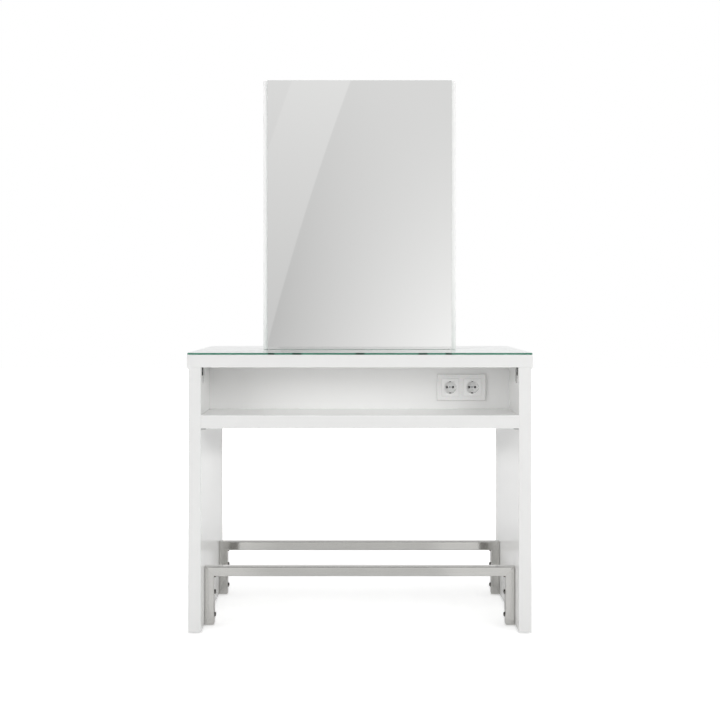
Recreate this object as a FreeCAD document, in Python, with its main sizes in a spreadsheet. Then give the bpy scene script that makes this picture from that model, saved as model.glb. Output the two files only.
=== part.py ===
import FreeCAD, Part
import Sketcher
import os
import re

# Double sided salon station, in millimetres: X is the width, -Y the front side, Z up.
# The origin is on the floor, under the middle of the station.
# The rear side is the front side turned half a turn about Z.

doc = FreeCAD.newDocument("SalonStation")

# ---------------------------------------------------------------- driving sizes

sizes = {
    # case
    "top_width": 1040.0,
    "top_depth": 616.0,
    "top_thickness": 38.0,
    "top_overhang": 3.0,
    "side_thickness": 38.0,
    "side_height": 799.0,
    "niche_height": 144.0,
    "shelf_thickness": 40.0,
    "spine_depth": 144.0,
    "spine_board": 19.0,
    "board_edge": 1.0,
    "spine_edge": 0.25,
    # levelling feet
    "foot_height": 4.0,
    "foot_diameter": 26.0,
    "foot_edge": 1.5,
    "foot_setback": 30.0,
    "stud_diameter": 8.0,
    "stud_length": 30.0,
    "stud_clearance": 0.05,
    "insert_diameter": 12.0,
    "insert_length": 15.0,
    # glass top
    "glass_thickness": 6.0,
    "glass_inset": 1.0,
    "glass_arris": 0.5,
    "slot_length": 582.0,
    "slot_width": 46.0,
    # mirror unit
    "mirror_width": 598.0,
    "mirror_height": 872.0,
    "mirror_thickness": 5.0,
    "mirror_gap": 0.4,
    "mirror_arris": 0.5,
    "core_width": 624.0,
    "core_thickness": 18.0,
    "core_drop": 2.5,
    "backing_thickness": 12.0,
    "post_width": 30.0,
    "post_wall": 2.0,
    "post_height": 300.0,
    "post_pitch": 200.0,
    "post_foot_thickness": 5.0,
    "pad_length": 18.5,
    "fit_gap": 0.1,
    # sockets
    "socket_offset": 325.0,
    "socket_height": 69.0,
    "socket_pitch": 71.0,
    "frame_width": 155.0,
    "frame_height": 84.0,
    "frame_depth": 10.0,
    "frame_wall": 2.5,
    "frame_edge": 2.0,
    "insert_face": 55.0,
    "insert_edge": 1.0,
    "insert_proud": 1.0,
    "insert_body": 50.0,
    "insert_back": 20.0,
    "window_gap": 0.2,
    "flange_width": 70.0,
    "flange_height": 66.0,
    "flange_thickness": 1.5,
    "recess_diameter": 39.0,
    "recess_depth": 17.0,
    "pin_pitch": 19.0,
    "pin_hole": 5.5,
    "sleeve_diameter": 7.5,
    "sleeve_length": 10.0,
    "sleeve_bore": 5.0,
    "earth_width": 5.0,
    "earth_thickness": 1.2,
    "earth_reach": 12.0,
    "earth_margin": 0.8,
    "rib_width": 4.0,
    "rib_depth": 1.8,
    "ear_screw_pitch": 60.5,
    "small_screw": 3.0,
    "small_head": 5.0,
    "small_head_height": 2.0,
    "box_width": 139.0,
    "box_height": 66.0,
    "box_depth": 46.0,
    "box_wall": 2.0,
    "box_boss": 7.0,
    "ear_screw_bite": 12.0,
    # wiring
    "junction_width": 110.0,
    "junction_depth": 100.0,
    "junction_height": 62.0,
    "junction_wall": 2.5,
    "lid_thickness": 3.0,
    "terminal_width": 60.0,
    "terminal_depth": 22.0,
    "terminal_height": 18.0,
    "terminal_bore": 5.0,
    "terminal_axis": 6.0,
    "terminal_pitch": 12.0,
    "conduit_diameter": 16.0,
    "conduit_bore": 13.0,
    "conduit_height": 47.0,
    "conduit_offset": 36.0,
    "gland_diameter": 20.0,
    "gland_bore": 11.0,
    "gland_flange": 30.0,
    "gland_flange_height": 5.0,
    "gland_nut": 27.0,
    "gland_nut_height": 6.0,
    # footrests
    "footrest_height": 180.0,
    "footrest_setback": 90.0,
    "tube_size": 30.0,
    "tube_wall": 1.5,
    "tube_corner": 3.0,
    "end_thickness": 4.0,
    "end_round": 3.5,
    "weld_leg": 5.0,
    "weld_length": 18.0,
    "bolt_low": 30.0,
    "bolt_high": 100.0,
    "bolt_diameter": 8.0,
    "bolt_head": 14.0,
    "bolt_head_height": 4.4,
    "bolt_reach": 20.0,
    "bolt_key": 5.0,
    "bolt_key_depth": 2.2,
    "bolt_dome": 3.0,
    "bolt_insert_length": 13.0,
    # corner connectors
    "pocket_setback": 62.0,
    "pocket_width": 70.0,
    "pocket_height": 52.0,
    "pocket_depth": 16.0,
    "connector_width": 38.0,
    "connector_height": 27.0,
    "connector_thickness": 15.0,
    "connector_screw": 5.0,
    "connector_head": 9.0,
    "connector_head_height": 3.5,
    "connector_bite": 16.0,
    "connector_shift": 9.0,
    # shelf supports
    "support_setback": 8.0,
    "support_length": 30.0,
    "support_reach": 14.0,
    "support_thickness": 3.0,
    "support_pin": 5.0,
    "support_pin_length": 12.0,
    "support_screw": 3.5,
    "support_head": 6.5,
    "support_head_height": 1.8,
    "support_bite": 14.0,
    # wood screws of the mirror unit
    "wood_screw": 4.0,
    "wood_head": 8.0,
    "wood_head_height": 3.0,
    "wood_bite": 8.0,
    "screw_row_low": 87.0,
    "screw_row_middle": 260.0,
    "screw_row_high": 740.0,
    "foot_screw_bite": 25.0,
    # dowels
    "dowel_diameter": 8.0,
    "dowel_length": 30.0,
    "dowel_gap": 0.5,
    "shelf_dowel_inner": 73.0,
    "shelf_dowel_outer": 195.0,
    "top_dowel_pitch": 122.0,
    "spine_dowel_low": 36.0,
    "spine_dowel_high": 108.0,
}

# Lengths that follow from the driving sizes.
places = {
    "side_span": "top_width - 2 * top_overhang",
    "side_depth": "top_depth - 2 * top_overhang",
    "inner_width": "side_span - 2 * side_thickness",
    "case_top": "foot_height + side_height",
    "glass_foot": "case_top + top_thickness",
    "glass_face": "glass_foot + glass_thickness",
    "shelf_face": "case_top - niche_height",
    "shelf_foot": "shelf_face - shelf_thickness",
    "mirror_foot": "glass_face + mirror_gap",
    "core_height": "mirror_height - core_drop",
    "post_foot_depth": "slot_width - 2 * glass_inset",
    "post_foot_face": "glass_foot + post_foot_thickness",
    "pad_height": "mirror_foot - glass_foot",
    "socket_level": "shelf_face + socket_height",
    "insert_thickness": "frame_depth + insert_proud",
    "recess_floor": "recess_depth - insert_thickness",
    "insert_web": "insert_back - recess_floor",
    "earth_radius": "recess_diameter / 2 - earth_thickness / 2 - earth_margin",
    "conduit_level": "shelf_face + conduit_height",
    "upright_length": "footrest_height - end_thickness",
    "upright_foot": "foot_height + end_thickness",
    "footrest_y": "side_depth / 2 - footrest_setback - tube_size / 2",
    "tube_bore": "tube_size - 2 * tube_wall",
    "bolt_length": "bolt_reach + tube_size",
    "pocket_drop": "pocket_height - pocket_width / 2",
    "pocket_y": "side_depth / 2 - pocket_setback",
    "pocket_chord": "sqrt(pocket_width ^ 2 / 4 - (connector_height - pocket_drop) ^ 2)",
    "connector_y": "pocket_y + pocket_chord - connector_width / 2 - fit_gap",
    "connector_x": "inner_width / 2 + pocket_depth - connector_thickness / 2",
    "support_x": "inner_width / 2 - support_reach / 2",
    "support_y": "side_depth / 2 - support_setback - support_length / 2",
    "support_pin_z": "shelf_foot - support_pin / 2",
    "foot_x": "side_span / 2 - side_thickness / 2",
    "foot_y": "side_depth / 2 - foot_setback",
    "spine_y": "spine_depth / 2 - spine_board / 2",
    "post_screw_y": "post_foot_depth / 4 + core_thickness / 4",
}

sheet = doc.addObject("Spreadsheet::Sheet", "Sizes")
for row, (alias, value) in enumerate(sizes.items(), start=1):
    sheet.set(f"A{row}", alias)
    sheet.set(f"B{row}", str(value))
    sheet.setAlias(f"B{row}", alias)
doc.recompute()


def formula(text):
    """Write a formula of size names as an expression on the sheet."""

    def cell(match):
        word = match.group(0)
        if word in places:
            return "(" + formula(places[word]) + ")"
        return "Sizes." + word if word in sizes else word

    return re.sub(r"[a-z][a-z0-9_]+", cell, str(text))


def bind(target, **formulas):
    for name, text in formulas.items():
        target.setExpression(name, formula(text))
    return target


def place(target, x="0", y="0", z="0", axis=(0, 0, 1), turn=0.0, about=0.0):
    """Put an object at a point given by formulas, turned about an axis, then about Z."""
    first = FreeCAD.Rotation(FreeCAD.Vector(*axis), turn)
    second = FreeCAD.Rotation(FreeCAD.Vector(0, 0, 1), about)
    target.Placement = FreeCAD.Placement(FreeCAD.Vector(), second.multiply(first))
    for letter, text in (("x", x), ("y", y), ("z", z)):
        target.setExpression(f"Placement.Base.{letter}", formula(text))
    return target


# ---------------------------------------------------------------- shapes

ALONG = {"X": ((0, 1, 0), 90.0), "-X": ((0, 1, 0), -90.0), "Y": ((1, 0, 0), -90.0),
         "-Y": ((1, 0, 0), 90.0), "Z": ((0, 0, 1), 0.0), "-Z": ((1, 0, 0), 180.0)}


def block(name, size, centre):
    """A box of three lengths about a centre."""
    solid = doc.addObject("Part::Box", name)
    bind(solid, Length=size[0], Width=size[1], Height=size[2])
    corner = [f"({c}) - ({s}) / 2" for c, s in zip(centre, size)]
    return place(solid, *corner)


def rod(name, diameter, length, start, along="Z"):
    """A cylinder from a start point along an axis."""
    solid = doc.addObject("Part::Cylinder", name)
    bind(solid, Radius=f"({diameter}) / 2", Height=length)
    axis, turn = ALONG[along]
    return place(solid, *start, axis=axis, turn=turn)


def fuse(name, *shapes):
    joined = doc.addObject("Part::MultiFuse", name)
    joined.Shapes = list(shapes)
    return joined


def cut(name, base, *tools):
    """Take one or more shapes out of a base."""
    result = doc.addObject("Part::Cut", name)
    result.Base = base
    result.Tool = tools[0] if len(tools) == 1 else fuse(name + "_tools", *tools)
    return result


def group(name, shapes):
    """Separate solids that share one sub-part."""
    together = doc.addObject("Part::Compound", name)
    together.Links = list(shapes)
    return together


def sketch_on(body, role, name, offset="0"):
    sketch = body.newObject("Sketcher::SketchObject", name)
    plane = [item for item in body.Origin.OriginFeatures if item.Role == role][0]
    sketch.AttachmentSupport = (plane, [""])
    sketch.MapMode = "FlatFace"
    sketch.setExpression("AttachmentOffset.Base.z", formula(offset))
    return sketch


def constrain(sketch, kind, text, *where):
    """Add a dimension that follows a formula."""
    index = sketch.addConstraint(Sketcher.Constraint(kind, *where, 1.0))
    label = f"{kind.lower()}_{index}"
    sketch.renameConstraint(index, label)
    sketch.setExpression(f"Constraints.{label}", formula(text))


def outline(sketch, corners):
    """A closed outline through corners, each a pair of formulas that aren't negative."""
    first = sketch.GeometryCount
    count = len(corners)
    for index in range(count):
        start = FreeCAD.Vector(1 + index, 1 + index * index, 0)
        end = FreeCAD.Vector(2 + index, 2 + index * index, 0)
        sketch.addGeometry(Part.LineSegment(start, end), False)
    for index in range(count):
        follower = first + (index + 1) % count
        sketch.addConstraint(Sketcher.Constraint("Coincident", first + index, 2, follower, 1))
    for index, (x, y) in enumerate(corners):
        if x == "0":
            sketch.addConstraint(Sketcher.Constraint("PointOnObject", first + index, 1, -2))
        else:
            constrain(sketch, "DistanceX", x, -1, 1, first + index, 1)
        if y == "0":
            sketch.addConstraint(Sketcher.Constraint("PointOnObject", first + index, 1, -1))
        else:
            constrain(sketch, "DistanceY", y, -1, 1, first + index, 1)


def pad(body, sketch, name, length):
    feature = body.newObject("PartDesign::Pad", name)
    feature.Profile = sketch
    return bind(feature, Length=length)


def sheet_body(name, role, width, height, thickness):
    """A rectangular plate with its corner at the origin, padded from one plane."""
    body = doc.addObject("PartDesign::Body", name)
    sketch = sketch_on(body, role, name + "_outline")
    outline(sketch, [("0", "0"), (width, "0"), (width, height), ("0", height)])
    pad(body, sketch, name + "_pad", thickness)
    doc.recompute()
    return body


def ease(body, kind, name, size, edges=None):
    """Round or bevel all edges of a body's last feature, or only those named."""
    feature = body.newObject(f"PartDesign::{kind}", name)
    base = body.Group[-2]
    feature.Base = (base, edges or [f"Edge{i + 1}" for i in range(len(base.Shape.Edges))])
    bind(feature, **{"Radius" if kind == "Fillet" else "Size": size})
    doc.recompute()
    return body


def turned(name, corners):
    """A body of revolution about Z; each corner is a radius and a height."""
    body = doc.addObject("PartDesign::Body", name)
    sketch = sketch_on(body, "XZ_Plane", name + "_profile")
    outline(sketch, corners)
    feature = body.newObject("PartDesign::Revolution", name + "_turn")
    feature.Profile = sketch
    feature.ReferenceAxis = (sketch, ["V_Axis"])
    feature.Angle = 360.0
    doc.recompute()
    return body


def edges_where(body, test):
    """Names of the edges of a body's last feature that pass a test."""
    edges = body.Group[-1].Shape.Edges
    return [f"Edge{index + 1}" for index, edge in enumerate(edges) if test(edge)]


def along(letter):
    """A test for straight edges that run along one axis."""

    def test(edge):
        box = edge.BoundBox
        spans = {"X": box.XLength, "Y": box.YLength, "Z": box.ZLength}
        others = sum(spans.values()) - spans[letter]
        return spans[letter] > 0.01 and others < 0.01

    return test


parts = []


def part(label, shape):
    """Name a finished sub-part; the name is its file's name."""
    shape.Label = label
    parts.append(shape)
    return shape


SIDES = {"left": "-1", "right": "1"}
FACES = {"front": "-1", "rear": "1"}
HALF_TURN = {"front": 0.0, "rear": 180.0, "left": 0.0, "right": 180.0}


# ---------------------------------------------------------------- case panels

def dowel_gap_rod(name, half, start, direction="Z"):
    """The hole that one half of a dowel fits, a little deeper than the dowel needs."""
    return rod(name, "dowel_diameter + fit_gap", f"{half} + dowel_gap", start, direction)


SHELF_DOWELS = ["-shelf_dowel_outer", "-shelf_dowel_inner",
                "shelf_dowel_inner", "shelf_dowel_outer"]
TOP_DOWELS = ["-top_dowel_pitch", "0", "top_dowel_pitch"]
SPINE_DOWELS = ["spine_dowel_low", "spine_dowel_high"]


def side_panel(side):
    """A leg panel: local X runs from its outer to its inner face, Y from front to rear."""
    name = f"side_{side}"
    board = sheet_body(name + "_board", "YZ_Plane", "side_depth", "side_height",
                       "side_thickness")
    ease(board, "Fillet", name + "_edges", "board_edge")
    holes = []
    for index, sign in enumerate(("-1", "1")):
        tag = f"{name}_{index}"
        inner = "side_thickness - pocket_depth"
        middle = f"side_depth / 2 + {sign} * pocket_y"
        floor = "side_height - pocket_drop"
        holes.append(rod(tag + "_pocket_end", "pocket_width", "pocket_depth",
                         (inner, middle, floor), "X"))
        holes.append(block(tag + "_pocket",
                           ("pocket_depth", "pocket_width", "pocket_drop"),
                           ("side_thickness - pocket_depth / 2", middle,
                            "side_height - pocket_drop / 2")))
        holes.append(rod(tag + "_connector_pilot", "connector_screw + fit_gap",
                         "connector_bite",
                         (f"{inner} - connector_bite",
                          f"side_depth / 2 + {sign} * (connector_y - connector_shift)",
                          "side_height - connector_height / 2"), "X"))
        bolt_y = f"side_depth / 2 + {sign} * footrest_y"
        for level in ("bolt_low", "bolt_high"):
            holes.append(rod(f"{tag}_{level}_insert", "insert_diameter + fit_gap",
                             "bolt_insert_length",
                             ("side_thickness - bolt_insert_length", bolt_y, level), "X"))
            holes.append(rod(f"{tag}_{level}_end", "bolt_diameter + fit_gap",
                             "bolt_reach + 2 * dowel_gap",
                             ("side_thickness - bolt_reach - 2 * dowel_gap", bolt_y, level),
                             "X"))
        foot_y = f"side_depth / 2 + {sign} * foot_y"
        holes.append(rod(tag + "_foot_insert", "insert_diameter + fit_gap",
                         "insert_length", ("side_thickness / 2", foot_y, "0")))
        holes.append(rod(tag + "_stud", "stud_diameter + 4 * fit_gap",
                         "stud_length + dowel_gap", ("side_thickness / 2", foot_y, "0")))
        holes.append(rod(tag + "_support_pin", "support_pin + fit_gap",
                         "support_pin_length + dowel_gap",
                         ("side_thickness - support_pin_length - dowel_gap",
                          f"side_depth / 2 + {sign} * support_y",
                          "support_pin_z - foot_height"), "X"))
        for step, spot in enumerate(SPINE_DOWELS):
            holes.append(dowel_gap_rod(
                f"{tag}_spine_{step}", "dowel_length / 2",
                ("side_thickness - dowel_length / 2 - dowel_gap",
                 f"side_depth / 2 + {sign} * spine_y",
                 f"shelf_face - foot_height + {spot}"), "X"))
    for step, spot in enumerate(SHELF_DOWELS):
        holes.append(dowel_gap_rod(
            f"{name}_shelf_{step}", "dowel_length / 2",
            ("side_thickness - dowel_length / 2 - dowel_gap",
             f"side_depth / 2 + {spot}",
             "shelf_face - foot_height - shelf_thickness / 2"), "X"))
    for step, spot in enumerate(TOP_DOWELS):
        holes.append(dowel_gap_rod(
            f"{name}_top_{step}", "dowel_length / 2",
            ("side_thickness / 2", f"side_depth / 2 + {spot}",
             "side_height - dowel_length / 2 - dowel_gap")))
    panel = cut(name, board, *holes)
    sign = SIDES[side]
    return place(panel, f"{sign} * side_span / 2", f"{sign} * side_depth / 2",
                 "foot_height", turn=HALF_TURN[side])


for side in SIDES:
    part(f"side_panel_{side}", side_panel(side))


def centred_sheet(name, width, depth, thickness, foot, edge_kind, edge):
    """A horizontal plate, centred on the station, with eased edges."""
    body = sheet_body(name, "XY_Plane", width, depth, thickness)
    ease(body, edge_kind, name + "_edges", edge)
    return place(body, f"-({width}) / 2", f"-({depth}) / 2", foot)


def top_panel():
    board = centred_sheet("top_board", "top_width", "top_depth", "top_thickness",
                          "case_top", "Fillet", "board_edge")
    holes = []
    for side, sign in SIDES.items():
        for step, spot in enumerate(TOP_DOWELS):
            holes.append(dowel_gap_rod(f"top_{side}_dowel_{step}", "dowel_length / 2",
                                       (f"{sign} * foot_x", spot,
                                        "case_top")))
        for face, facing in FACES.items():
            holes.append(rod(f"top_{side}_{face}_pilot", "connector_screw + fit_gap",
                             "connector_bite",
                             (f"{sign} * connector_x",
                              f"{facing} * (connector_y + connector_shift)", "case_top")))
    for step in ("-1", "0", "1"):
        for face, facing in FACES.items():
            holes.append(rod(f"top_post_{step}_{face}", "wood_screw + fit_gap",
                             "foot_screw_bite",
                             (f"{step} * post_pitch", f"{facing} * post_screw_y",
                              "glass_foot - foot_screw_bite")))
    return cut("top", board, *holes)


part("top_panel", top_panel())


def shelf_panel():
    board = centred_sheet("shelf_board", "inner_width", "side_depth", "shelf_thickness",
                          "shelf_foot", "Fillet", "board_edge")
    holes = [rod("shelf_gland_hole", "gland_diameter + fit_gap", "shelf_thickness",
                 ("0", "0", "shelf_foot"))]
    for side, sign in SIDES.items():
        direction = "X" if side == "left" else "-X"
        for step, spot in enumerate(SHELF_DOWELS):
            holes.append(dowel_gap_rod(
                f"shelf_{side}_dowel_{step}", "dowel_length / 2",
                (f"{sign} * inner_width / 2", spot,
                 "shelf_face - shelf_thickness / 2"), direction))
        for face, facing in FACES.items():
            holes.append(rod(f"shelf_{side}_{face}_pilot", "support_screw + fit_gap",
                             "support_bite",
                             (f"{sign} * support_x", f"{facing} * support_y",
                              "shelf_foot")))
    return cut("shelf", board, *holes)


part("shelf_panel", shelf_panel())


def spine_board(face):
    """The board that closes the niche; local Y runs from its show face inwards."""
    name = f"spine_{face}"
    board = sheet_body(name + "_board", "XY_Plane", "inner_width", "spine_board",
                       "niche_height")
    ease(board, "Fillet", name + "_edges", "spine_edge")
    place(board, "-inner_width / 2", "0", "0")
    holes = [block(name + "_window",
                   ("box_width + 2 * window_gap", "spine_board",
                    "box_height + 2 * window_gap"),
                   ("socket_offset", "spine_board / 2", "socket_height"))]
    for side, sign in SIDES.items():
        direction = "X" if side == "left" else "-X"
        for step, spot in enumerate(SPINE_DOWELS):
            holes.append(dowel_gap_rod(
                f"{name}_{side}_dowel_{step}", "dowel_length / 2",
                (f"{sign} * inner_width / 2", "spine_board / 2",
                 f"{spot}"), direction))
    board = cut(name, board, *holes)
    return place(board, "0", f"{FACES[face]} * spine_depth / 2", "shelf_face",
                 turn=HALF_TURN[face])


for face in FACES:
    part(f"spine_board_{face}", spine_board(face))


# ---------------------------------------------------------------- glass top

def glass_top():
    """One clear sheet with a slot that the mirror unit covers."""
    sheet_of_glass = centred_sheet("glass", "top_width - 2 * glass_inset",
                                   "top_depth - 2 * glass_inset", "glass_thickness",
                                   "glass_foot", "Chamfer", "glass_arris")
    slot = block("glass_slot", ("slot_length", "slot_width", "glass_thickness"),
                 ("0", "0", "glass_foot + glass_thickness / 2"))
    return cut("glass_sheet", sheet_of_glass, slot)


part("glass_top", glass_top())


# ---------------------------------------------------------------- mirror unit

def upright_sheet(name, width, thickness, height, back, foot, kind, edge):
    """A standing plate centred in X; back is the formula of its lowest Y."""
    body = sheet_body(name, "XY_Plane", width, thickness, height)
    ease(body, kind, name + "_edges", edge)
    return place(body, f"-({width}) / 2", back, foot)


def screw_points():
    """Places of the backing screws: the lower two rows go into the posts."""
    rows = [f"mirror_foot + {row}"
            for row in ("screw_row_low", "screw_row_middle", "screw_row_high")]
    columns = ["-post_pitch", "0", "post_pitch"]
    return [(column, row) for row in rows for column in columns]


def facing_rod(name, diameter, length, x, depth, z, face):
    """A cylinder that starts at a depth from the middle plane and runs outwards."""
    start = (x, f"{FACES[face]} * ({depth})", z)
    return rod(name, diameter, length, start, "-Y" if face == "front" else "Y")


def mirror_core():
    board = upright_sheet("core_board", "core_width", "core_thickness", "core_height",
                          "-core_thickness / 2", "mirror_foot", "Fillet", "board_edge")
    tools = []
    for step in ("-1", "0", "1"):
        tools.append(block(f"core_slot_{step}",
                           ("post_width + 2 * fit_gap", "core_thickness",
                            "post_height + fit_gap"),
                           (f"{step} * post_pitch", "0",
                            "post_foot_face + post_height / 2 + fit_gap / 2")))
    for index, (x, z) in enumerate(screw_points()[-3:]):
        tools.append(rod(f"core_pilot_{index}", "wood_screw + fit_gap", "core_thickness",
                         (x, "core_thickness / 2", z), "-Y"))
    return cut("core", board, *tools)


part("mirror_core", mirror_core())


def backing_board(face):
    name = f"backing_{face}"
    back = "core_thickness / 2" if face == "rear" else "-core_thickness / 2 - backing_thickness"
    board = upright_sheet(name + "_board", "core_width", "backing_thickness",
                          "core_height", back, "mirror_foot", "Fillet", "board_edge")
    tools = []
    for index, (x, z) in enumerate(screw_points()):
        tools.append(facing_rod(f"{name}_hole_{index}", "wood_screw + fit_gap",
                                "backing_thickness", x, "core_thickness / 2", z, face))
        tools.append(facing_rod(f"{name}_sink_{index}", "wood_head + fit_gap",
                                "wood_head_height", x,
                                "core_thickness / 2 + backing_thickness - wood_head_height",
                                z, face))
    return cut(name, board, *tools)


def mirror_glass(face):
    back = "core_thickness / 2 + backing_thickness"
    if face == "front":
        back = f"-({back}) - mirror_thickness"
    return upright_sheet(f"mirror_{face}", "mirror_width", "mirror_thickness",
                         "mirror_height", back, "mirror_foot", "Chamfer", "mirror_arris")


for face in FACES:
    part(f"mirror_backing_{face}", backing_board(face))
    part(f"mirror_glass_{face}", mirror_glass(face))


def mirror_post(step):
    """A rectangular steel tube welded to a foot plate that stands in the glass slot."""
    name = f"post_{step}"
    x = f"{step} * post_pitch"
    middle = "post_foot_face + post_height / 2"
    outer = block(name + "_outer", ("post_width", "core_thickness", "post_height"),
                  (x, "0", middle))
    foot = block(name + "_foot", ("post_width", "post_foot_depth", "post_foot_thickness"),
                 (x, "0", "glass_foot + post_foot_thickness / 2"))
    tools = [block(name + "_bore",
                   ("post_width - 2 * post_wall", "core_thickness - 2 * post_wall",
                    "post_height"), (x, "0", middle))]
    for index, (column, row) in enumerate(screw_points()[:6]):
        if column == {"-1": "-post_pitch", "0": "0", "1": "post_pitch"}[step]:
            tools.append(rod(f"{name}_tap_{index}", "wood_screw + fit_gap",
                             "core_thickness", (column, "core_thickness / 2", row), "-Y"))
    for face, facing in FACES.items():
        tools.append(rod(f"{name}_{face}_hole", "wood_screw + fit_gap",
                         "post_foot_thickness",
                         (x, f"{facing} * post_screw_y", "glass_foot")))
        tools.append(rod(f"{name}_{face}_sink", "wood_head + fit_gap", "wood_head_height",
                         (x, f"{facing} * post_screw_y",
                          "post_foot_face - wood_head_height")))
    return cut(name, fuse(name + "_welded", outer, foot), *tools)


part("mirror_posts", group("posts", [mirror_post(step) for step in ("-1", "0", "1")]))


def slot_pads():
    """Rubber pads that fill the ends of the glass slot and carry the core's ends."""
    pads = []
    for side, sign in SIDES.items():
        pads.append(block(f"slot_pad_{side}", ("pad_length", "post_foot_depth", "pad_height"),
                          (f"{sign} * (slot_length / 2 - glass_inset / 2 - pad_length / 2)",
                           "0", "glass_foot + pad_height / 2")))
    return group("slot_pads_both", pads)


part("slot_pads", slot_pads())


def headed_screw(name, shank, reach, head, head_height):
    """A screw along +Z: the shank ends at the origin, the head stands above the reach."""
    return turned(name, [("0", "0"), (f"({shank}) / 2", "0"), (f"({shank}) / 2", reach),
                         (f"({head}) / 2", reach),
                         (f"({head}) / 2", f"{reach} + {head_height}"),
                         ("0", f"{reach} + {head_height}")])


def foot_screws():
    """Screws through the posts' foot plates into the top panel."""
    screws = []
    reach = "foot_screw_bite + post_foot_thickness - wood_head_height"
    for step in ("-1", "0", "1"):
        for face, facing in FACES.items():
            screw = headed_screw(f"foot_screw_{step}_{face}", "wood_screw", reach,
                                 "wood_head", "wood_head_height")
            screws.append(place(screw, f"{step} * post_pitch",
                                f"{facing} * post_screw_y",
                                "glass_foot - foot_screw_bite"))
    return group("foot_screws", screws)


def backing_screws():
    """Screws through the backing boards into the posts and the core."""
    screws = []
    reach = "wood_bite + backing_thickness - wood_head_height"
    for face, facing in FACES.items():
        for index, (x, z) in enumerate(screw_points()):
            screw = headed_screw(f"backing_screw_{face}_{index}", "wood_screw", reach,
                                 "wood_head", "wood_head_height")
            screws.append(place(screw, x, f"{facing} * (core_thickness / 2 - wood_bite)", z,
                                *ALONG["-Y" if face == "front" else "Y"]))
    return group("backing_screws_all", screws)


part("post_screws", foot_screws())
part("backing_screws", backing_screws())


# ---------------------------------------------------------------- sockets

# Socket pieces are modelled lying down: local X along the board, Y up, Z out of the board.
# Their origin is on the board's show face.

def mount(target, face, x="0", out="spine_depth / 2", z="socket_level"):
    """Stand a lying piece on the show face of one side's spine board."""
    away = FACES[face]
    return place(target, f"-({away}) * ({x})", f"{away} * ({out})", z,
                 axis=(1, 0, 0), turn=90.0, about=HALF_TURN[face])


def lying_sheet(name, width, height, thickness, rounding):
    """A plate centred on the local origin; all edges but those of its foot are rounded."""
    body = sheet_body(name, "XY_Plane", width, height, thickness)

    def above_foot(edge):
        return edge.BoundBox.ZMax > 0.01

    ease(body, "Fillet", name + "_edges", rounding, edges_where(body, above_foot))
    return place(body, f"-({width}) / 2", f"-({height}) / 2")


SOCKETS = {"left": "-socket_pitch / 2", "right": "socket_pitch / 2"}


def socket_frame(face):
    """A double cover frame: a shallow shell, open at the back, with two square windows."""
    name = f"frame_{face}"
    shell = lying_sheet(name + "_shell", "frame_width", "frame_height", "frame_depth",
                        "frame_edge")
    hollow = block(name + "_hollow",
                   ("frame_width - 2 * frame_wall", "frame_height - 2 * frame_wall",
                    "frame_depth - frame_wall"),
                   ("0", "0", "(frame_depth - frame_wall) / 2"))
    window = "insert_face + 2 * window_gap"
    windows = [block(f"{name}_window_{side}", (window, window, "frame_depth"),
                     (x, "0", "frame_depth / 2")) for side, x in SOCKETS.items()]
    return mount(cut(name, shell, hollow, *windows), face, "socket_offset")


def socket_insert(face, side):
    """An earthed socket: face plate, mounting flange, body, round recess, pin holes."""
    name = f"insert_{face}_{side}"
    plate = lying_sheet(name + "_plate", "insert_face", "insert_face", "insert_thickness",
                        "insert_edge")
    flange = block(name + "_flange", ("flange_width", "flange_height", "flange_thickness"),
                   ("0", "0", "flange_thickness / 2"))
    back = block(name + "_back", ("insert_body", "insert_body", "insert_back"),
                 ("0", "0", "-insert_back / 2"))
    tools = [rod(name + "_recess", "recess_diameter", "recess_depth",
                 ("0", "0", "-recess_floor")),
             rod(name + "_screw_hole", "small_screw + fit_gap", "insert_web",
                 ("0", "0", "-insert_back"))]
    ribs = []
    for index, sign in enumerate(("-1", "1")):
        tag = f"{name}_{index}"
        tools.append(rod(tag + "_pin", "pin_hole", "insert_web",
                         (f"{sign} * pin_pitch / 2", "0", "-insert_back")))
        tools.append(rod(tag + "_sleeve_seat", "sleeve_diameter + fit_gap", "sleeve_length",
                         (f"{sign} * pin_pitch / 2", "0", "-insert_back")))
        tools.append(rod(tag + "_ear", "small_screw + fit_gap", "flange_thickness",
                         (f"{sign} * ear_screw_pitch / 2", "0", "0")))
        tools.append(block(tag + "_earth_slot",
                           ("earth_width + 2 * fit_gap", "earth_thickness + 2 * fit_gap",
                            "insert_web"),
                           ("0", f"{sign} * earth_radius",
                            "-insert_back + insert_web / 2")))
        ribs.append(block(tag + "_rib",
                          ("2 * rib_depth", "rib_width", "recess_depth - rib_depth"),
                          (f"{sign} * recess_diameter / 2", "0",
                           "-recess_floor + (recess_depth - rib_depth) / 2")))
    hollowed = cut(name + "_hollowed", fuse(name + "_solid", plate, flange, back), *tools)
    whole = fuse(name, hollowed, *ribs)
    return mount(whole, face, f"socket_offset + {SOCKETS[side]}")


def earth_straps(face):
    """Bent straps whose two prongs stand at the top and bottom of each recess."""
    straps = []
    for side, x in SOCKETS.items():
        name = f"earth_{face}_{side}"
        length = "insert_web + earth_reach + earth_thickness"
        pieces = [block(name + "_bar",
                        ("earth_width", "2 * earth_radius + earth_thickness",
                         "earth_thickness"),
                        (x, "0", "-insert_back - earth_thickness / 2"))]
        for index, sign in enumerate(("-1", "1")):
            pieces.append(block(f"{name}_prong_{index}",
                                ("earth_width", "earth_thickness", length),
                                (x, f"{sign} * earth_radius",
                                 f"-insert_back - earth_thickness + ({length}) / 2")))
        hole = rod(name + "_hole", "small_screw + fit_gap", "earth_thickness",
                   (x, "0", "-insert_back - earth_thickness"))
        straps.append(cut(name, fuse(name + "_bent", *pieces), hole))
    return mount(group(f"earths_{face}", straps), face, "socket_offset")


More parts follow.
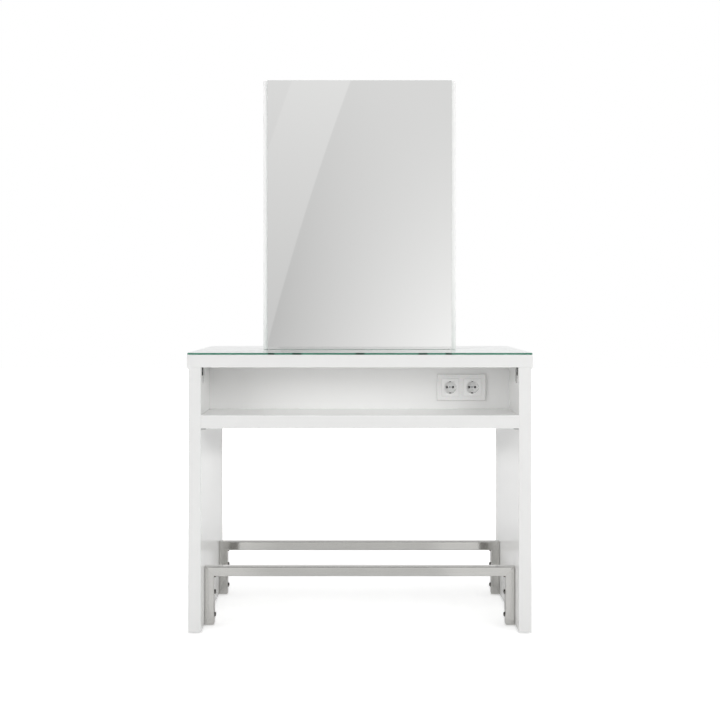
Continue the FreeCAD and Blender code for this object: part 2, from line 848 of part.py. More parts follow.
def pin_sleeves(face):
    """Brass sleeves that grip the plug's pins behind the pin holes."""
    sleeves = []
    for side, x in SOCKETS.items():
        for index, sign in enumerate(("-1", "1")):
            name = f"sleeve_{face}_{side}_{index}"
            start = (f"{x} + {sign} * pin_pitch / 2", "0", "-insert_back")
            sleeves.append(cut(name, rod(name + "_outer", "sleeve_diameter",
                                         "sleeve_length", start),
                               rod(name + "_bore", "sleeve_bore", "sleeve_length",
                                   start)))
    return mount(group(f"sleeves_{face}", sleeves), face, "socket_offset")


def flush_box(face):
    """A double box in the spine board that holds both inserts; open at the front."""
    name = f"flush_{face}"
    shell = block(name + "_shell", ("box_width", "box_height", "box_depth"),
                  ("0", "0", "-box_depth / 2"))
    hollow = block(name + "_hollow",
                   ("box_width - 2 * box_wall", "box_height - 2 * box_wall",
                    "box_depth - box_wall"), ("0", "0", "-(box_depth - box_wall) / 2"))
    bosses = []
    holes = [rod(name + "_entry", "conduit_bore", "box_wall",
                 ("-box_width / 2", "conduit_level - socket_level",
                  "conduit_offset - spine_depth / 2"), "X")]
    for side, x in SOCKETS.items():
        for index, sign in enumerate(("-1", "1")):
            middle = f"{x} + {sign} * ear_screw_pitch / 2"
            bosses.append(rod(f"{name}_{side}_{index}_boss", "box_boss", "box_depth",
                              (middle, "0", "-box_depth")))
            holes.append(rod(f"{name}_{side}_{index}_pilot", "small_screw + fit_gap",
                             "ear_screw_bite", (middle, "0", "-ear_screw_bite")))
    case = fuse(name + "_whole", cut(name + "_case", shell, hollow), *bosses)
    return mount(cut(name, case, *holes), face, "socket_offset")


def socket_screws():
    """Centre screws on the recess floors; each one holds an insert on its earth strap."""
    screws = []
    reach = "insert_web + earth_thickness + small_head_height"
    for face in FACES:
        for side, x in SOCKETS.items():
            screw = headed_screw(f"centre_screw_{face}_{side}", "small_screw", reach,
                                 "small_head", "small_head_height")
            place(screw, x, "0", "-insert_back - earth_thickness - small_head_height")
            screws.append(mount(group(f"centre_screws_{face}_{side}", [screw]), face,
                                "socket_offset"))
    return group("centre_screws", screws)


def mounting_screws():
    """Screws through the inserts' flanges into the bosses of the flush boxes."""
    screws = []
    for face in FACES:
        for side, x in SOCKETS.items():
            for index, sign in enumerate(("-1", "1")):
                name = f"flange_screw_{face}_{side}_{index}"
                screw = headed_screw(name, "small_screw",
                                     "ear_screw_bite - dowel_gap + flange_thickness",
                                     "small_head", "small_head_height")
                place(screw, f"{x} + {sign} * ear_screw_pitch / 2", "0",
                      "dowel_gap - ear_screw_bite")
                screws.append(mount(group(name + "_set", [screw]), face, "socket_offset"))
    return group("flange_screws", screws)


for face in FACES:
    part(f"socket_frame_{face}", socket_frame(face))
    for side in SOCKETS:
        part(f"socket_insert_{face}_{side}", socket_insert(face, side))
    part(f"earth_straps_{face}", earth_straps(face))
    part(f"pin_sleeves_{face}", pin_sleeves(face))
    part(f"flush_box_{face}", flush_box(face))
part("socket_screws", socket_screws())
part("mounting_screws", mounting_screws())


# ---------------------------------------------------------------- wiring

def junction_box():
    """The box between the spine boards where the supply cable is split to both sides."""
    middle = "shelf_face + junction_height / 2"
    shell = block("junction_shell", ("junction_width", "junction_depth", "junction_height"),
                  ("0", "0", middle))
    hollow = block("junction_hollow",
                   ("junction_width - 2 * junction_wall", "junction_depth - 2 * junction_wall",
                    "junction_height - junction_wall"),
                   ("0", "0", f"{middle} + junction_wall / 2"))
    holes = [rod("junction_gland_hole", "gland_diameter + fit_gap", "junction_wall",
                 ("0", "0", "shelf_face"))]
    for face, facing in FACES.items():
        start = (f"-({facing}) * junction_width / 2", f"{facing} * conduit_offset",
                 "conduit_level")
        holes.append(rod(f"junction_entry_{face}", "conduit_bore", "junction_wall", start,
                         "-X" if face == "front" else "X"))
    return cut("junction", shell, hollow, *holes)


def junction_lid():
    """A lid with a lip that drops inside the box."""
    plate = block("lid_plate", ("junction_width", "junction_depth", "lid_thickness"),
                  ("0", "0", "shelf_face + junction_height + lid_thickness / 2"))
    lip = block("lid_lip",
                ("junction_width - 2 * junction_wall - 2 * fit_gap",
                 "junction_depth - 2 * junction_wall - 2 * fit_gap", "lid_thickness"),
                ("0", "0", "shelf_face + junction_height - lid_thickness / 2"))
    inner = block("lid_inner",
                  ("junction_width - 4 * junction_wall", "junction_depth - 4 * junction_wall",
                   "lid_thickness"),
                  ("0", "0", "shelf_face + junction_height - lid_thickness / 2"))
    return fuse("lid", plate, cut("lid_ring", lip, inner))


def terminal_block():
    """A five pole block on the box's floor."""
    y = "junction_depth / 2 - junction_wall - terminal_depth / 2 - fit_gap"
    foot = "shelf_face + junction_wall"
    body = block("terminal_body", ("terminal_width", "terminal_depth", "terminal_height"),
                 ("0", y, f"{foot} + terminal_height / 2"))
    bores = []
    for pole in range(-2, 3):
        x = f"{pole} * terminal_pitch"
        bores.append(rod(f"terminal_bore_{pole + 2}", "terminal_bore", "terminal_depth",
                         (x, f"{y} - terminal_depth / 2", f"{foot} + terminal_axis"),
                         "Y"))
        bores.append(rod(f"terminal_screw_{pole + 2}", "terminal_bore",
                         "terminal_height - terminal_axis",
                         (x, y, f"{foot} + terminal_axis")))
    return cut("terminal", body, *bores)


def conduit(face):
    """A straight conduit from the junction box to one flush box."""
    length = "socket_offset - box_width / 2 - junction_width / 2"
    start = ("junction_width / 2", "-conduit_offset", "conduit_level")
    tube = cut(f"conduit_{face}_tube",
               rod(f"conduit_{face}_outer", "conduit_diameter", length, start, "X"),
               rod(f"conduit_{face}_bore", "conduit_bore", length, start, "X"))
    return place(tube, turn=HALF_TURN[face])


def cable_gland():
    """The supply inlet: a flanged tube through the shelf and the junction box's floor."""
    length = ("gland_flange_height + shelf_thickness + junction_wall + gland_nut_height"
              " + dowel_gap")
    body = turned("gland_body", [
        ("gland_bore / 2", "0"), ("gland_flange / 2", "0"),
        ("gland_flange / 2", "gland_flange_height"),
        ("gland_diameter / 2", "gland_flange_height"), ("gland_diameter / 2", length),
        ("gland_bore / 2", length)])
    return place(body, "0", "0", "shelf_foot - gland_flange_height")


def gland_nut():
    """The hexagonal nut that clamps the gland to the junction box's floor."""
    nut = doc.addObject("Part::Prism", "nut_body")
    nut.Polygon = 6
    bind(nut, Circumradius="gland_nut / sqrt(3)", Height="gland_nut_height")
    place(nut, "0", "0", "shelf_face + junction_wall")
    bore = rod("nut_bore", "gland_diameter + fit_gap", "gland_nut_height",
               ("0", "0", "shelf_face + junction_wall"))
    return cut("nut", nut, bore)


part("junction_box", junction_box())
part("junction_lid", junction_lid())
part("terminal_block", terminal_block())
for face in FACES:
    part(f"conduit_{face}", conduit(face))
part("cable_gland", cable_gland())
part("gland_nut", gland_nut())


# ---------------------------------------------------------------- footrests

def square_tube(name, length):
    """A square tube along local Z, centred on it, with rounded corners outside and inside."""
    solids = []
    for tag, size, corner in (("outer", "tube_size", "tube_corner"),
                              ("bore", "tube_bore", "tube_corner - tube_wall")):
        body = sheet_body(f"{name}_{tag}", "XY_Plane", size, size, length)
        ease(body, "Fillet", f"{name}_{tag}_corners", corner,
             edges_where(body, along("Z")))
        solids.append(place(body, f"-({size}) / 2", f"-({size}) / 2", "0"))
    return cut(name, *solids)


def mitre(name, corner, turn):
    """A cutter whose lower face is a 45 degree plane through a corner, turned about Y."""
    solid = doc.addObject("Part::Box", name)
    bind(solid, Length="4 * tube_size", Width="2 * tube_size", Height="2 * tube_size")
    across = FreeCAD.Rotation(FreeCAD.Vector(0, 1, 0), turn)
    shift = across.multVec(FreeCAD.Vector(-1, 0, 0))
    x, z = corner
    place(solid, f"{x} + {shift.x:.6f} * 2 * tube_size", "-tube_size",
          f"{z} + {shift.z:.6f} * 2 * tube_size", axis=(0, 1, 0), turn=turn)
    return solid


def upright(face, side):
    """A footrest leg; its outer face stands against the side panel, its top is mitred."""
    name = f"upright_{face}_{side}"
    tube = square_tube(name + "_tube", "upright_length")
    tools = [mitre(name + "_mitre", ("0", "upright_length - tube_size / 2"), 45.0)]
    for level in ("bolt_low", "bolt_high"):
        tools.append(rod(f"{name}_{level}", "bolt_diameter + fit_gap", "tube_size",
                         ("-tube_size / 2", "0", f"{level} - end_thickness"), "X"))
    leg = cut(name, tube, *tools)
    sign = SIDES[side]
    return place(leg, f"{sign} * (inner_width / 2 - tube_size / 2)",
                 f"{FACES[face]} * footrest_y", "upright_foot", turn=HALF_TURN[side])


def footrest_rail(face):
    """The bar that the feet rest on, mitred down to the uprights at both ends."""
    name = f"rail_{face}"
    tube = square_tube(name + "_tube", "inner_width")
    place(tube, "-inner_width / 2", "0", "0", *ALONG["X"])
    left = mitre(name + "_left", ("-inner_width / 2 + tube_size / 2", "0"), -135.0)
    right = mitre(name + "_right", ("inner_width / 2 - tube_size / 2", "0"), 135.0)
    rail = cut(name, tube, left, right)
    return place(rail, "0", f"{FACES[face]} * footrest_y",
                 "foot_height + footrest_height - tube_size / 2")


def end_plate(face, side):
    """A steel plate welded under an upright; its inner lower edge is rounded."""
    name = f"end_{face}_{side}"
    plate = sheet_body(name, "XY_Plane", "tube_size", "tube_size", "end_thickness")

    def inner_foot(edge):
        box = edge.BoundBox
        return along("Y")(edge) and box.ZMax < 0.01 and box.XMin > 0.01

    ease(plate, "Fillet", name + "_foot", "end_round", edges_where(plate, inner_foot))
    ease(plate, "Fillet", name + "_corners", "tube_corner", edges_where(plate, along("Z")))
    place(plate, "-tube_size / 2", "-tube_size / 2", "0")
    sign = SIDES[side]
    return place(group(name + "_set", [plate]), f"{sign} * (inner_width / 2 - tube_size / 2)",
                 f"{FACES[face]} * footrest_y", "foot_height", turn=HALF_TURN[side])


def at_footrest_bolts(make):
    """Make one piece at each of the eight bolt places, pointing into the side panel."""
    pieces = []
    for face, facing in FACES.items():
        for side, sign in SIDES.items():
            for level in ("bolt_low", "bolt_high"):
                piece = make(f"{face}_{side}_{level}")
                pieces.append(place(piece, f"{sign} * (inner_width / 2 + bolt_reach)",
                                    f"{facing} * footrest_y", f"foot_height + {level}",
                                    *ALONG["X" if side == "left" else "-X"]))
    return pieces


def footrest_bolt(tag):
    """A button head bolt with a key socket; its tip is at the origin, its head at +Z."""
    blank = headed_screw(f"bolt_{tag}_blank", "bolt_diameter", "bolt_length", "bolt_head",
                         "bolt_head_height")
    top = blank.Shape.BoundBox.ZMax

    def rim(edge):
        return edge.BoundBox.ZMin > top - 0.01

    ease(blank, "Fillet", f"bolt_{tag}_dome", "bolt_dome",
         edges_where(blank, rim))
    key = doc.addObject("Part::Prism", f"bolt_{tag}_key")
    key.Polygon = 6
    bind(key, Circumradius="bolt_key / sqrt(3)", Height="bolt_key_depth")
    place(key, "0", "0", "bolt_length + bolt_head_height - bolt_key_depth")
    return cut(f"bolt_{tag}", blank, key)


def bolt_insert(tag):
    """The threaded insert that the bolt screws into, flush with the panel's inner face."""
    start = ("0", "0", "bolt_reach - bolt_insert_length")
    return cut(f"bolt_insert_{tag}",
               rod(f"bolt_insert_{tag}_outer", "insert_diameter", "bolt_insert_length",
                   start),
               rod(f"bolt_insert_{tag}_bore", "bolt_diameter + fit_gap",
                   "bolt_insert_length", start))


def footrest_welds():
    """Short weld beads in the inner corners of the mitres."""
    beads = []
    for face, facing in FACES.items():
        for side, sign in SIDES.items():
            bead = rod(f"weld_{face}_{side}", "2 * weld_leg", "weld_length",
                       ("0", "0", "0"), "Y")
            bead.Angle = 90.0
            half = f"{sign} * weld_length / 2"
            beads.append(place(bead, f"{sign} * (inner_width / 2 - tube_size)",
                               f"{facing} * footrest_y + {half}",
                               "foot_height + footrest_height - tube_size",
                               *ALONG["Y"], about=HALF_TURN[side]))
    return group("welds", beads)


for face in FACES:
    part(f"footrest_rail_{face}", footrest_rail(face))
    for side in SIDES:
        part(f"upright_{face}_{side}", upright(face, side))
        part(f"end_plate_{face}_{side}", end_plate(face, side))
part("footrest_bolts", group("bolts", at_footrest_bolts(footrest_bolt)))
part("footrest_inserts", group("bolt_inserts", at_footrest_bolts(bolt_insert)))
part("footrest_welds", footrest_welds())


# ---------------------------------------------------------------- case hardware

def corner_connectors():
    """Steel blocks in the side panels' pockets that pull the top panel down."""
    blocks = []
    for side, sign in SIDES.items():
        for face, facing in FACES.items():
            name = f"connector_{side}_{face}"
            middle = "case_top - connector_height / 2"
            solid = block(name + "_block",
                          ("connector_thickness", "connector_width", "connector_height"),
                          (f"{sign} * connector_x", f"{facing} * connector_y", middle))
            up = rod(name + "_up", "connector_screw + fit_gap", "connector_height",
                     (f"{sign} * connector_x",
                      f"{facing} * (connector_y + connector_shift)",
                      "case_top - connector_height"))
            across_y = f"{facing} * (connector_y - connector_shift)"
            inward = "X" if side == "left" else "-X"
            across = rod(name + "_across", "connector_screw + fit_gap",
                         "connector_thickness",
                         (f"{sign} * (inner_width / 2 + pocket_depth)", across_y, middle),
                         inward)
            sink = rod(name + "_sink", "connector_head + fit_gap", "connector_head_height",
                       (f"{sign} * (inner_width / 2 + pocket_depth - connector_thickness"
                        " + connector_head_height)", across_y, middle), inward)
            blocks.append(cut(name, solid, up, across, sink))
    return group("connectors", blocks)


def connector_screws():
    """One screw up into the top panel and one across into the side panel, per connector."""
    screws = []
    for side, sign in SIDES.items():
        for face, facing in FACES.items():
            name = f"connector_screw_{side}_{face}"
            up = headed_screw(name + "_up", "connector_screw",
                              "connector_bite + connector_height", "connector_head",
                              "connector_head_height")
            screws.append(place(up, f"{sign} * connector_x",
                                f"{facing} * (connector_y + connector_shift)",
                                "case_top + connector_bite", *ALONG["-Z"]))
            across = headed_screw(name + "_across", "connector_screw",
                                  "connector_bite + connector_thickness"
                                  " - connector_head_height",
                                  "connector_head", "connector_head_height")
            screws.append(place(across,
                                f"{sign} * (inner_width / 2 + pocket_depth + connector_bite)",
                                f"{facing} * (connector_y - connector_shift)",
                                "case_top - connector_height / 2",
                                *ALONG["X" if side == "left" else "-X"]))
    return group("connector_screws_all", screws)


def shelf_supports():
    """Flat steel tongues under the shelf's corners, each with a pin in the side panel."""
    supports = []
    for side, sign in SIDES.items():
        for face, facing in FACES.items():
            name = f"support_{side}_{face}"
            y = f"{facing} * support_y"
            tongue = block(name + "_tongue",
                           ("support_reach", "support_length", "support_thickness"),
                           (f"{sign} * support_x", y, "shelf_foot - support_thickness / 2"))
            pin = rod(name + "_pin", "support_pin", "support_pin_length",
                      (f"{sign} * inner_width / 2", y, "support_pin_z"),
                      "-X" if side == "left" else "X")
            hole = rod(name + "_hole", "support_screw + fit_gap", "support_thickness",
                       (f"{sign} * support_x", y, "shelf_foot - support_thickness"))
            sink = rod(name + "_sink", "support_head + fit_gap", "support_head_height",
                       (f"{sign} * support_x", y, "shelf_foot - support_thickness"))
            supports.append(cut(name, fuse(name + "_whole", tongue, pin), hole, sink))
    return group("supports", supports)


def support_screws():
    """One screw up through each support into the shelf."""
    screws = []
    for side, sign in SIDES.items():
        for face, facing in FACES.items():
            screw = headed_screw(f"support_screw_{side}_{face}", "support_screw",
                                 "support_bite + support_thickness - support_head_height",
                                 "support_head", "support_head_height")
            screws.append(place(screw, f"{sign} * support_x", f"{facing} * support_y",
                                "shelf_foot + support_bite", *ALONG["-Z"]))
    return group("support_screws_all", screws)


def dowels():
    """Beech dowels between the side panels and the top, the shelf and the spine boards."""
    pegs = []
    for side, sign in SIDES.items():
        start_x = f"{sign} * inner_width / 2 - dowel_length / 2"
        for step, spot in enumerate(SHELF_DOWELS):
            pegs.append(rod(f"dowel_shelf_{side}_{step}", "dowel_diameter", "dowel_length",
                            (start_x, spot,
                             "shelf_face - shelf_thickness / 2"), "X"))
        for face, facing in FACES.items():
            for step, spot in enumerate(SPINE_DOWELS):
                pegs.append(rod(f"dowel_spine_{side}_{face}_{step}", "dowel_diameter",
                                "dowel_length",
                                (start_x, f"{facing} * spine_y",
                                 f"shelf_face + {spot}"), "X"))
        for step, spot in enumerate(TOP_DOWELS):
            pegs.append(rod(f"dowel_top_{side}_{step}", "dowel_diameter", "dowel_length",
                            (f"{sign} * foot_x", spot,
                             "case_top - dowel_length / 2")))
    return group("pegs", pegs)


part("corner_connectors", corner_connectors())
part("connector_screws", connector_screws())
part("shelf_supports", shelf_supports())
part("support_screws", support_screws())
part("dowels", dowels())


# ---------------------------------------------------------------- levelling feet

def levelling_foot(face, side):
    """A glide disc with a threaded stud; screwing it out raises the side panel."""
    name = f"foot_{face}_{side}"
    foot = turned(name, [
        ("0", "0"), ("foot_diameter / 2 - foot_edge", "0"), ("foot_diameter / 2", "foot_edge"),
        ("foot_diameter / 2", "foot_height"), ("stud_diameter / 2", "foot_height"),
        ("stud_diameter / 2", "foot_height + stud_length"),
        ("0", "foot_height + stud_length")])
    return place(foot, f"{SIDES[side]} * foot_x", f"{FACES[face]} * foot_y", "0")


def foot_inserts():
    """Threaded inserts in the feet of the side panels."""
    inserts = []
    for face, facing in FACES.items():
        for side, sign in SIDES.items():
            name = f"foot_insert_{face}_{side}"
            start = (f"{sign} * foot_x", f"{facing} * foot_y", "foot_height")
            inserts.append(cut(name, rod(name + "_outer", "insert_diameter",
                                         "insert_length", start),
                               rod(name + "_bore", "stud_diameter + 2 * stud_clearance",
                                   "insert_length", start)))
    return group("foot_inserts_all", inserts)


for face in FACES:
    for side in SIDES:
        part(f"levelling_foot_{face}_{side}", levelling_foot(face, side))
part("foot_inserts", foot_inserts())


# ---------------------------------------------------------------- check and write

doc.recompute()
failed = [item.Label for item in doc.Objects if {"Invalid", "Error"} & set(item.State)]
broken = [item.Label for item in parts if item.Shape.isNull() or not item.Shape.isValid()]
if failed or broken:
    raise RuntimeError(f"failed: {failed}; broken: {broken}")

os.makedirs("parts", exist_ok=True)
for item in parts:
    item.Shape.exportStep(f"parts/{item.Label}.step")
    print(f"{item.Label}: {len(item.Shape.Solids)} solids, {item.Shape.Volume / 1000:.1f} cm3")
print(f"{len(parts)} sub-parts")
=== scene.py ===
import math
import bpy
import bmesh
from mathutils import Matrix, Vector


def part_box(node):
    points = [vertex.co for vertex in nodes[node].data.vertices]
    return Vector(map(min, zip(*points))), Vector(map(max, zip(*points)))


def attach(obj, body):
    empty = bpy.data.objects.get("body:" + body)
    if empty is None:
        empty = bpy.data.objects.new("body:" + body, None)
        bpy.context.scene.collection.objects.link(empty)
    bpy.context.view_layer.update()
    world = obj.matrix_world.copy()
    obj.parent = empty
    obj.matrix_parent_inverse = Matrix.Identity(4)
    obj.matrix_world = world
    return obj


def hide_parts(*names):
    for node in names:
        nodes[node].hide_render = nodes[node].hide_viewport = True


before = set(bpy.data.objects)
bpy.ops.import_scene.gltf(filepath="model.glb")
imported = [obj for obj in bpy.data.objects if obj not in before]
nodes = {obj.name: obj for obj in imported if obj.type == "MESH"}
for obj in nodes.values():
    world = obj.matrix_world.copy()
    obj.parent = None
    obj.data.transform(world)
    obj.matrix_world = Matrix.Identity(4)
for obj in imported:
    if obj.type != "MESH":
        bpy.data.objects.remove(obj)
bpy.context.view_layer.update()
print("frame loaded:", len(nodes), "nodes")


def linear(code):
    # an sRGB hex colour as the linear numbers that the shaders take
    parts = [int(code[i:i + 2], 16) / 255 for i in (1, 3, 5)]
    return [p / 12.92 if p <= 0.04045 else ((p + 0.055) / 1.055) ** 2.4 for p in parts] + [1.0]


def addNode(tree, kind, settings=None, links=None):
    # settings are the node's own properties or its sockets' values, by name or number
    node = tree.nodes.new(kind)
    for name, value in (settings or {}).items():
        if isinstance(name, str) and hasattr(node, name):
            setattr(node, name, value)
        else:
            node.inputs[name].default_value = value
    for name, source in (links or {}).items():
        tree.links.new(source, node.inputs[name])
    return node


def newMaterial(name, look):
    # look holds the shader's own values; hex colours are turned to linear here
    material = bpy.data.materials.new(name)
    material.use_nodes = True
    tree = material.node_tree
    tree.nodes.clear()
    output = addNode(tree, "ShaderNodeOutputMaterial")
    values = {k: linear(v) if isinstance(v, str) else v for k, v in look.items()}
    shader = addNode(tree, "ShaderNodeBsdfPrincipled", values)
    tree.links.new(shader.outputs["BSDF"], output.inputs["Surface"])
    place = addNode(tree, "ShaderNodeTexCoord").outputs["Object"]
    return material, tree, shader, place


def facingMask(tree, axis, limit=0.5):
    # 1 where the surface faces along the axis, whichever way, by more than the limit
    normal = addNode(tree, "ShaderNodeNewGeometry").outputs["True Normal"]
    parts = addNode(tree, "ShaderNodeSeparateXYZ", {}, {"Vector": normal})
    size = addNode(tree, "ShaderNodeMath", {"operation": "ABSOLUTE"}, {0: parts.outputs[axis]})
    mask = addNode(tree, "ShaderNodeMath", {"operation": "GREATER_THAN", 1: limit},
                   {0: size.outputs[0]})
    return mask.outputs[0]


def dress(material, *starts):
    # every node whose name starts so wears the material
    for name in nodes:
        if name.startswith(starts):
            slots = nodes[name].data.materials
            if not slots:
                slots.append(material)
            for index in range(len(slots)):
                slots[index] = material


camera = {
    "place": (-0.0147, -3.965, 0.9879),
    "sensor": 36,
    "lens": 60.8,
    "shiftRight": 5 / 720,
    "shiftDown": 54 / 720,
    "farthest": 60,      # metres
}


def addCamera():
    data = bpy.data.cameras.new("camera")
    data.sensor_width = camera["sensor"]
    data.lens = camera["lens"]
    data.shift_x = camera["shiftRight"]
    data.shift_y = -camera["shiftDown"]
    data.clip_end = camera["farthest"]
    item = bpy.data.objects.new("camera", data)
    item.location = camera["place"]
    item.rotation_euler = (math.radians(90), 0, 0)
    bpy.context.scene.collection.objects.link(item)
    bpy.context.scene.camera = item


addCamera()
print("camera placed")


# Melamine faced board: hard, even and semi-matt, slightly pearled by the press plate. Its
# front and rear edges have a glued-on plastic band with a fine joint line behind it, and the
# faces that face front or rear are drawn a shade greyer. Lengths are in metres.
boardLook = {
    "face": "#FBFBFA",
    "shade": "#F8F8F7",
    "band": "#E9E9E8",
    "joint": "#C4C4C1",
    "bandThickness": 0.001,
    "jointHalf": 0.0002,
    "roughness": 0.2,
    "IOR": 1.5,
    "pearl": 0.0012,      # between the pearls of the press plate
    "pearlHeight": 0.00003,
    "pearlStrength": 0.25,
    "cloud": 0.18,        # across a patch of slightly different white
}


def makeBoard(name, edge=None):
    # edge is how far from the middle the banded front and rear edges lie
    look = boardLook
    material, tree, shader, place = newMaterial(name, {
        "Roughness": look["roughness"], "IOR": look["IOR"]})
    cloud = addNode(tree, "ShaderNodeTexNoise", {"Scale": 1 / look["cloud"], "Detail": 2.0},
                    {"Vector": place})
    tint = addNode(tree, "ShaderNodeMix", {
        "data_type": "RGBA", 6: linear(look["face"]), 7: linear(look["shade"])},
        {0: cloud.outputs["Fac"]})
    if edge:
        split = addNode(tree, "ShaderNodeSeparateXYZ", {}, {"Vector": place})
        depth = addNode(tree, "ShaderNodeMath", {"operation": "ABSOLUTE"},
                        {0: split.outputs["Y"]})
        joint = addNode(tree, "ShaderNodeMath", {
            "operation": "COMPARE", 1: edge - look["bandThickness"], 2: look["jointHalf"]},
            {0: depth.outputs[0]})
        lined = addNode(tree, "ShaderNodeMix", {
            "data_type": "RGBA", 7: linear(look["joint"])},
            {0: joint.outputs[0], 6: tint.outputs[2]})
        tint = addNode(tree, "ShaderNodeMix", {
            "data_type": "RGBA", 7: linear(look["band"])},
            {0: facingMask(tree, "Y"), 6: lined.outputs[2]})
    tree.links.new(tint.outputs[2], shader.inputs["Base Color"])
    pearl = addNode(tree, "ShaderNodeTexNoise", {"Scale": 1 / look["pearl"], "Detail": 1.0},
                    {"Vector": place})
    bump = addNode(tree, "ShaderNodeBump", {
        "Strength": look["pearlStrength"], "Distance": look["pearlHeight"]},
        {"Height": pearl.outputs["Fac"]})
    tree.links.new(bump.outputs["Normal"], shader.inputs["Normal"])
    return material


# Turned beech rod: pale, matt wood with a slightly darker grain.
dowelLook = {
    "light": "#D1B086",
    "dark": "#B48F64",
    "roughness": 0.6,
    "grain": 0.02,        # metres
}


def makeWood():
    look = dowelLook
    material, tree, shader, place = newMaterial("beechDowel", {"Roughness": look["roughness"]})
    grain = addNode(tree, "ShaderNodeTexNoise", {"Scale": 1 / look["grain"], "Detail": 5.0},
                    {"Vector": place})
    tint = addNode(tree, "ShaderNodeMix", {
        "data_type": "RGBA", 6: linear(look["light"]), 7: linear(look["dark"])},
        {0: grain.outputs["Fac"]})
    tree.links.new(tint.outputs[2], shader.inputs["Base Color"])
    return material


# Float glass with ground and polished edges: clear through the faces, deep green along them,
# because light that leaves by an edge has come a long way through the sheet. Short dark marks
# are painted on the front and rear edges: painted shade where the mirror posts' dark feet and
# the rubber pads would show through.
glassLook = {
    "colour": "#FFFFFF",
    "roughness": 0.0,
    "IOR": 1.52,
    "left": (0.0, 0.76, 0.56, 1.0),      # what the absorption spares of red, green and blue
    "density": 3.0,                      # per metre
    "edge": "#36B98B",
    # painted shade: the colour of the dark marks painted on the front and rear edges
    "paintedMark": "#0A402C",
    # metres from the station's middle to a painted mark's, on both sides of it, and half its width
    "paintedMarks": ((0.0, 0.0135), (0.19, 0.0135), (0.267, 0.01)),
    "lampTint": "#FBFDFC",               # the lamps' and the bounced light under the sheet
}


def makeGlass():
    look = glassLook
    material, tree, shader, place = newMaterial("clearFloatGlass", {
        "Roughness": look["roughness"], "IOR": look["IOR"], "Transmission Weight": 1.0})
    # lamps' and bounced light go straight through, so that the board below isn't dark
    clear = addNode(tree, "ShaderNodeBsdfTransparent", {"Color": linear(look["lampTint"])})
    path = addNode(tree, "ShaderNodeLightPath")
    light = addNode(tree, "ShaderNodeMath", {"operation": "MAXIMUM"}, {
        0: path.outputs["Is Shadow Ray"], 1: path.outputs["Is Diffuse Ray"]})
    both = addNode(tree, "ShaderNodeMixShader", {}, {
        0: light.outputs[0], 1: shader.outputs[0], 2: clear.outputs[0]})
    green = addNode(tree, "ShaderNodeMix", {
        "data_type": "RGBA", 6: linear(look["edge"]), 7: linear(look["colour"])},
        {0: facingMask(tree, "Z")})
    # painted shade: dark marks on the front and rear edges, where the posts' feet and the pads
    # would show through
    split = addNode(tree, "ShaderNodeSeparateXYZ", {}, {"Vector": place})
    across = addNode(tree, "ShaderNodeMath", {"operation": "ABSOLUTE"}, {0: split.outputs["X"]})
    paintedMarks = [addNode(tree, "ShaderNodeMath", {"operation": "COMPARE", 1: middle, 2: half},
                     {0: across.outputs[0]}) for middle, half in look["paintedMarks"]]
    dark = paintedMarks[0]
    for paintedMark in paintedMarks[1:]:
        dark = addNode(tree, "ShaderNodeMath", {"operation": "MAXIMUM"},
                       {0: dark.outputs[0], 1: paintedMark.outputs[0]})
    dark = addNode(tree, "ShaderNodeMath", {"operation": "MULTIPLY"},
                   {0: dark.outputs[0], 1: facingMask(tree, "Y")})
    tint = addNode(tree, "ShaderNodeMix", {"data_type": "RGBA", 7: linear(look["paintedMark"])},
                   {0: dark.outputs[0], 6: green.outputs[2]})
    tree.links.new(tint.outputs[2], shader.inputs["Base Color"])
    inside = addNode(tree, "ShaderNodeVolumeAbsorption", {
        "Color": look["left"], "Density": look["density"]})
    output = [n for n in tree.nodes if n.type == "OUTPUT_MATERIAL"][0]
    tree.links.new(both.outputs[0], output.inputs["Surface"])
    tree.links.new(inside.outputs[0], output.inputs["Volume"])
    return material


# Silvered float glass: a true mirror with a narrow polished arris that looks grey-green.
mirrorLook = {
    "silver": "#EDEDEC",
    "arris": "#D9E0DC",
    "roughness": 0.015,
    "flat": 0.95,        # a normal that points along Y by more than this is the face's
}


def makeMirror():
    look = mirrorLook
    material, tree, shader, place = newMaterial("silveredMirror", {"Roughness": look["roughness"]})
    face = facingMask(tree, "Y", look["flat"])
    tint = addNode(tree, "ShaderNodeMix", {
        "data_type": "RGBA", 6: linear(look["arris"]), 7: linear(look["silver"])}, {0: face})
    tree.links.new(tint.outputs[2], shader.inputs["Base Color"])
    tree.links.new(face, shader.inputs["Metallic"])
    return material


# Stainless steel tube, ground along its length with a belt: fine lengthwise scratches that
# blur reflections across the tube and keep them sharp along it, and ground mitre seams. The
# scratches are drawn coarser than a belt's grit, so that they show. Lengths are in metres.
steelLook = {
    "colour": "#D2D1CE",
    "dark": "#B8B7B4",
    "roughness": (0.10, 0.15),
    "follows": (0.3, 0.7),     # the part of the scratches' noise that the roughness follows
    "stretched": 0.95,         # how much more the scratches blur across than along
    "scratchWidth": 0.0012,
    "scratchLength": 0.12,
    "scratchDepth": 0.00002,
    "scratchStrength": 0.3,
    "seam": "#8E8B86",
    "seamHalf": (0.0002, 0.0006),     # half the seam's width, where it is full and where it ends
    "seamStrength": 0.5,
}


